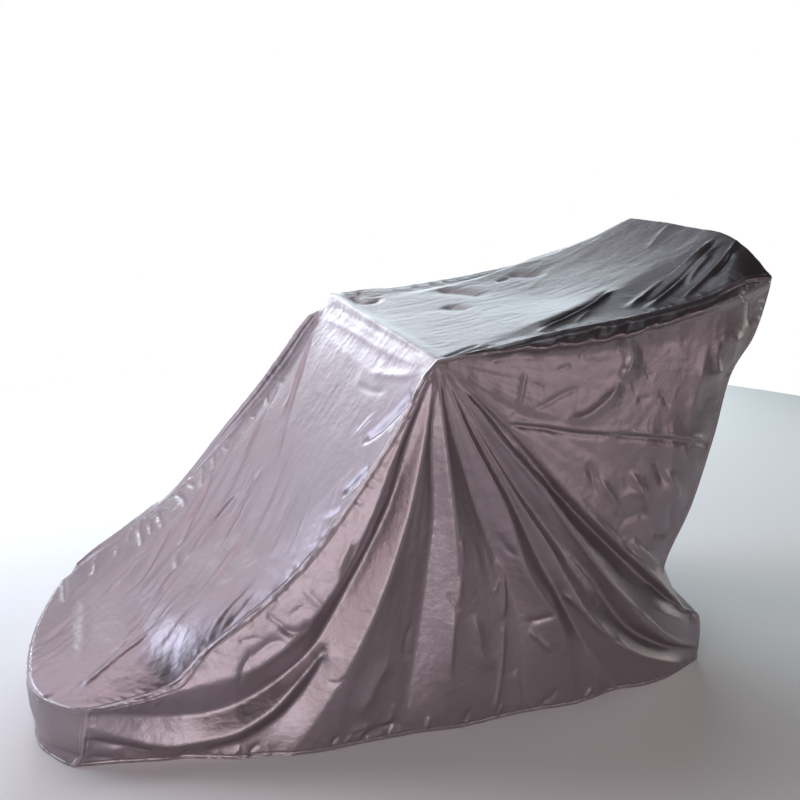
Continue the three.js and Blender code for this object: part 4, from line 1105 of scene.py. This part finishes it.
def grid_mesh(name, grid, height, facing, uvs, seams, on_floor=False):
    """A mesh of a grid of points, each moved along the grid's normal by its height."""
    rows, columns = grid.shape[:2]
    normals = np.cross(np.gradient(grid, axis=0), np.gradient(grid, axis=1))
    normals /= np.maximum(np.linalg.norm(normals, axis=-1, keepdims=True), 1e-9)
    if np.dot(normals[rows // 2, columns // 2], facing) < 0:
        normals = -normals
    places = grid + normals * height.reshape(rows, columns)[..., None]
    if on_floor:
        places[-1, :, 2] = 0.0
    index = np.arange(rows * columns).reshape(rows, columns)
    a, b = index[:-1, :-1].ravel(), index[1:, :-1].ravel()
    c, d = index[1:, 1:].ravel(), index[:-1, 1:].ravel()
    triangles = np.vstack([np.column_stack([a, b, c]), np.column_stack([a, c, d])])
    return make_mesh(name, places.reshape(-1, 3), triangles, facing, uvs, seams)


def centre_strip(near_border, far_border):
    """The strip's mesh, and the line of its rear edge."""
    across = np.linspace(0.0, 1.0, ACROSS_STEPS + 1)
    front = seam_points(near_border["front"], -1)[::-1]
    at = {
        "deck": np.linspace(0.0, 1.0, DECK_STEPS + 1),
        "rail": np.linspace(0.0, 1.0, TOP_STEPS + 1),
        "front": 1.0 - front[:, 2] / front[0, 2],
    }
    parts = {}
    for name, sections in (("deck", DECK_SECTIONS), ("rail", TOP_SECTIONS), ("front", FRONT_SECTIONS)):
        near = seam_points(near_border[name], -1)
        far = seam_points(far_border[name], 1)
        if name == "front":
            near, far = near[::-1], far[::-1]
        parts[name] = strip_rows(near, far, row_at(sections, "at", at[name]), across)
    grid = soften_grid(np.concatenate([parts["deck"][::-1], parts["rail"][1:], parts["front"][1:]]))
    steps = np.linalg.norm(np.diff(grid[:, ACROSS_STEPS // 2], axis=0), axis=-1)
    middle = np.concatenate([[0.0], np.cumsum(steps)])
    run = middle * RIDGE_RUN / middle[DECK_STEPS]
    run[DECK_STEPS:] = RIDGE_RUN + middle[DECK_STEPS:] - middle[DECK_STEPS]
    flat_run = np.repeat(run, ACROSS_STEPS + 1)
    flat_across = np.tile(across * STRIP_WIDTH, len(run))
    seams, edge, ends = strip_seams(flat_run, flat_across, run[-1])
    height = crease_height(flat_run, flat_across, DECK_CREASES)
    height += crease_height(flat_run - RIDGE_RUN, flat_across, TOP_CREASES)
    height += strip_relief(flat_run, flat_across) + seam_puckers(seams)
    height *= smooth(edge / EDGE_FADE) * smooth(ends / EDGE_FADE)
    uvs = np.column_stack([flat_across, flat_run])
    return grid_mesh("cover_centre_strip", grid, height, (0, 0, 1), uvs, seams), grid[0]


def rear_panel(near_border, far_border, rear_edge):
    near = seam_points(near_border["rear"], -1)
    far = seam_points(far_border["rear"], 1)
    across = np.linspace(0.0, 1.0, ACROSS_STEPS + 1)
    share = np.linspace(0.0, 1.0, REAR_STEPS + 1)
    section = {name: np.full(len(share), value) for name, value in DECK_SECTIONS[-1].items()}
    for name in ("near_lift", "far_lift", "slope_lift", "mid_lift"):
        section[name] = section[name] * 0.0
    section["push"] = -(mix(REAR_EDGE_BULGE, REAR_HEM_BULGE, share) + REAR_BELLY * arch(share))
    grid = strip_rows(near, far, section, across)
    grid += (rear_edge - grid[0])[None] * (1.0 - smooth(share / REAR_JOIN))[:, None, None]
    grid[-1, :, 2] = 0.0
    grid[0] = rear_edge
    flat_across = np.tile(across * STRIP_WIDTH, len(share))
    flat_drop = np.repeat(share * REAR_DROP, len(across))
    seams, edge, _ = strip_seams(flat_drop, flat_across, REAR_DROP)
    height = relief("rear", flat_across, flat_drop) + seam_puckers(seams)
    height *= smooth(edge / EDGE_FADE) * smooth(flat_drop / EDGE_FADE)
    uvs = np.column_stack([flat_across, flat_drop])
    return grid_mesh("cover_rear_panel", grid, height, (-1, 0, 0), uvs, seams, on_floor=True)


def cloth_material(name):
    """Coated taffeta: metal-like satin with a fine weave, small crumples and soft stains."""
    material = bpy.data.materials.new(name)
    material.use_nodes = True
    nodes = material.node_tree.nodes
    links = material.node_tree.links
    shader = nodes["Principled BSDF"]
    place = nodes.new("ShaderNodeTexCoord")

    def feed(node, feeds):
        """Gives a node's inputs their values, or the outputs of other nodes."""
        for key, value in feeds.items():
            if isinstance(value, bpy.types.NodeSocket):
                links.new(value, node.inputs[key])
            else:
                node.inputs[key].default_value = value
        return node

    def noise(source, cells, detail):
        """A noise texture of so many cells to the metre along each axis."""
        vector = place.outputs[source]
        stretch = feed(nodes.new("ShaderNodeMapping"), {"Vector": vector, "Scale": cells})
        feeds = {"Vector": stretch.outputs["Vector"], "Scale": 1.0, "Detail": detail}
        return feed(nodes.new("ShaderNodeTexNoise"), feeds).outputs["Fac"]

    def bump(height, strength, distance, under=None):
        feeds = {"Height": height, "Strength": strength, "Distance": distance}
        if under is not None:
            feeds["Normal"] = under
        return feed(nodes.new("ShaderNodeBump"), feeds).outputs["Normal"]

    def graph(operation, first, second=0.0):
        """A value worked out from one or two others."""
        node = feed(nodes.new("ShaderNodeMath"), {0: first, 1: second})
        node.operation = operation
        return node.outputs[0]

    def fall(value, reach):
        """1 where a value is 0, down to 0 where it is the reach."""
        feeds = {"Value": value, "From Max": reach, "To Min": 1.0, "To Max": 0.0}
        node = feed(nodes.new("ShaderNodeMapRange"), feeds)
        node.interpolation_type = "SMOOTHSTEP"
        return node.outputs["Result"]

    def tinted(share, first, second, kind="MIX"):
        """The first colour blended with the second by a share."""
        node = nodes.new("ShaderNodeMix")
        node.data_type = "RGBA"
        node.blend_type = kind
        return feed(node, {0: share, 6: first, 7: second}).outputs[2]

    blotch = noise("Object", BLOTCH_CELLS, BLOTCH_DETAIL)
    thread = noise("UV", WEAVE_CELLS, WEAVE_DETAIL)
    seam = nodes.new("ShaderNodeUVMap")
    seam.uv_map = "seam"
    parts = feed(nodes.new("ShaderNodeSeparateXYZ"), {0: seam.outputs["UV"]})
    run, gap = parts.outputs["X"], parts.outputs["Y"]
    beside = graph("ABSOLUTE", graph("SUBTRACT", gap, STITCH_GAP))
    dash = graph("LESS_THAN", graph("FRACT", graph("DIVIDE", run, STITCH_STEP)), STITCH_SHARE)
    stitch = graph("MULTIPLY", fall(beside, STITCH_WIDTH), dash)
    wear = graph("MULTIPLY", fall(gap, WEAR_WIDTH), graph("MULTIPLY", blotch, WEAR_SHARE))
    stained = tinted(blotch, CLOTH_COLOUR, WARM_COLOUR)
    woven = tinted(WEAVE_SHARE, stained, thread, "MULTIPLY")
    worn = tinted(wear, woven, WORN_COLOUR)
    spread = {"Value": blotch, "To Min": ROUGHNESS[0], "To Max": ROUGHNESS[1]}
    normal = None
    for row in CLOTH_BUMPS:
        cells = noise("Object", (row["cells"],) * 3, row["detail"])
        normal = bump(cells, row["strength"], row["height"], normal)
    normal = bump(thread, *WEAVE_BUMP, normal)
    sewn = graph("SUBTRACT", graph("MULTIPLY", stitch, STITCH_RISE), fall(beside, GROOVE_WIDTH))
    feed(shader, {
        "Base Color": tinted(stitch, worn, THREAD_COLOUR),
        "Roughness": feed(nodes.new("ShaderNodeMapRange"), spread).outputs["Result"],
        "Normal": bump(sewn, *STITCH_BUMP, normal),
        "Metallic": METALLIC,
        "Specular IOR Level": SPECULAR,
    })
    return material


def area_light(name, place, size, power, colour):
    """A rectangular light that faces the cover and is not seen itself."""
    light = bpy.data.lights.new(name, "AREA")
    light.shape = "RECTANGLE"
    light.size, light.size_y = size
    light.energy = power
    light.color = colour
    obj = bpy.data.objects.new(name, light)
    obj.location = place
    obj.rotation_euler = (Vector(LIGHT_TARGET) - place).to_track_quat("-Z", "Y").to_euler()
    obj.visible_camera = False
    bpy.context.scene.collection.objects.link(obj)


# Build the four panels
near_border = borders(NEAR)
far_border = borders(FAR)
near_lines = [form_line(form) for form in NEAR_FORM] + [fold_line(NEAR, fold) for fold in NEAR_FOLDS]
far_lines = [fold_line(FAR, fold) for fold in FAR_FOLDS]
near_piece = side_panel(
    "cover_near_side", NEAR, near_lines, near_border, NEAR_PITCH, NEAR_CREASES, near_relief,
)
FAR_CROWNS = (("deck", FAR_DECK_CROWN, -1.0), ("rail", FAR_RAIL_CROWN, 1.0))
far_piece = side_panel(
    "cover_far_side", FAR, far_lines, far_border, FAR_PITCH, [], far_relief, FAR_CROWNS,
)
strip_piece, rear_edge = centre_strip(near_border, far_border)
rear_piece = rear_panel(near_border, far_border, rear_edge)

cloth = cloth_material("cover_taffeta")
PIECES = (
    (near_piece, "near_side_panel", (1.95, 1.16), 1.62),
    (far_piece, "far_side_panel", (1.95, 1.16), 1.62),
    (strip_piece, "centre_strip", (3.5, 0.93), None),
    (rear_piece, "rear_panel", (0.95, 0.18), None),
)
for piece, node, flat, area in PIECES:
    piece.data.materials.append(cloth)
    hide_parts(node)
    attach(piece, "root")

# Floor
floor_mesh = bpy.data.meshes.new("floor")
floor_turns = np.linspace(0.0, 2.0 * math.pi, FLOOR_CORNERS + 1)[:-1]
floor_mesh.from_pydata(
    [(FLOOR_RADIUS * math.cos(turn), FLOOR_RADIUS * math.sin(turn), FLOOR_LEVEL) for turn in floor_turns],
    [], [tuple(range(FLOOR_CORNERS))],
)
floor = bpy.data.objects.new("floor", floor_mesh)
bpy.context.scene.collection.objects.link(floor)
floor_material = bpy.data.materials.new("pale_floor")
floor_material.use_nodes = True
floor_shader = floor_material.node_tree.nodes["Principled BSDF"]
floor_shader.inputs["Base Color"].default_value = (0.86, 0.86, 0.86, 1.0)
floor_shader.inputs["Roughness"].default_value = 0.9
floor_shader.inputs["Specular IOR Level"].default_value = 0.1
floor.data.materials.append(floor_material)

# The white surround shows behind the cover and lights nothing
world = bpy.data.worlds.new("studio")
world.use_nodes = True
world.node_tree.nodes["Background"].inputs["Color"].default_value = (1.0, 1.0, 1.0, 1.0)
world.node_tree.nodes["Background"].inputs["Strength"].default_value = 1.0
bpy.context.scene.world = world
world.cycles_visibility.diffuse = False
world.cycles_visibility.glossy = False

# Lights
for row in LIGHTS:
    aim, lift = math.radians(row["azimuth"]), math.radians(row["elevation"])
    spot = Vector((math.cos(aim) * math.cos(lift), math.sin(aim) * math.cos(lift), math.sin(lift)))
    colour = (row["red"], row["green"], row["blue"])
    strongest = max(colour)
    tint = tuple(value / strongest for value in colour)
    place = Vector(LIGHT_TARGET) + LIGHT_RANGE * spot
    area_light(row["name"], place, (row["width"], row["height"]), LIGHT_POWER * strongest, tint)

bpy.context.scene.view_settings.view_transform = "Standard"
bpy.context.scene.view_settings.exposure = 0.0

bpy.context.view_layer.update()
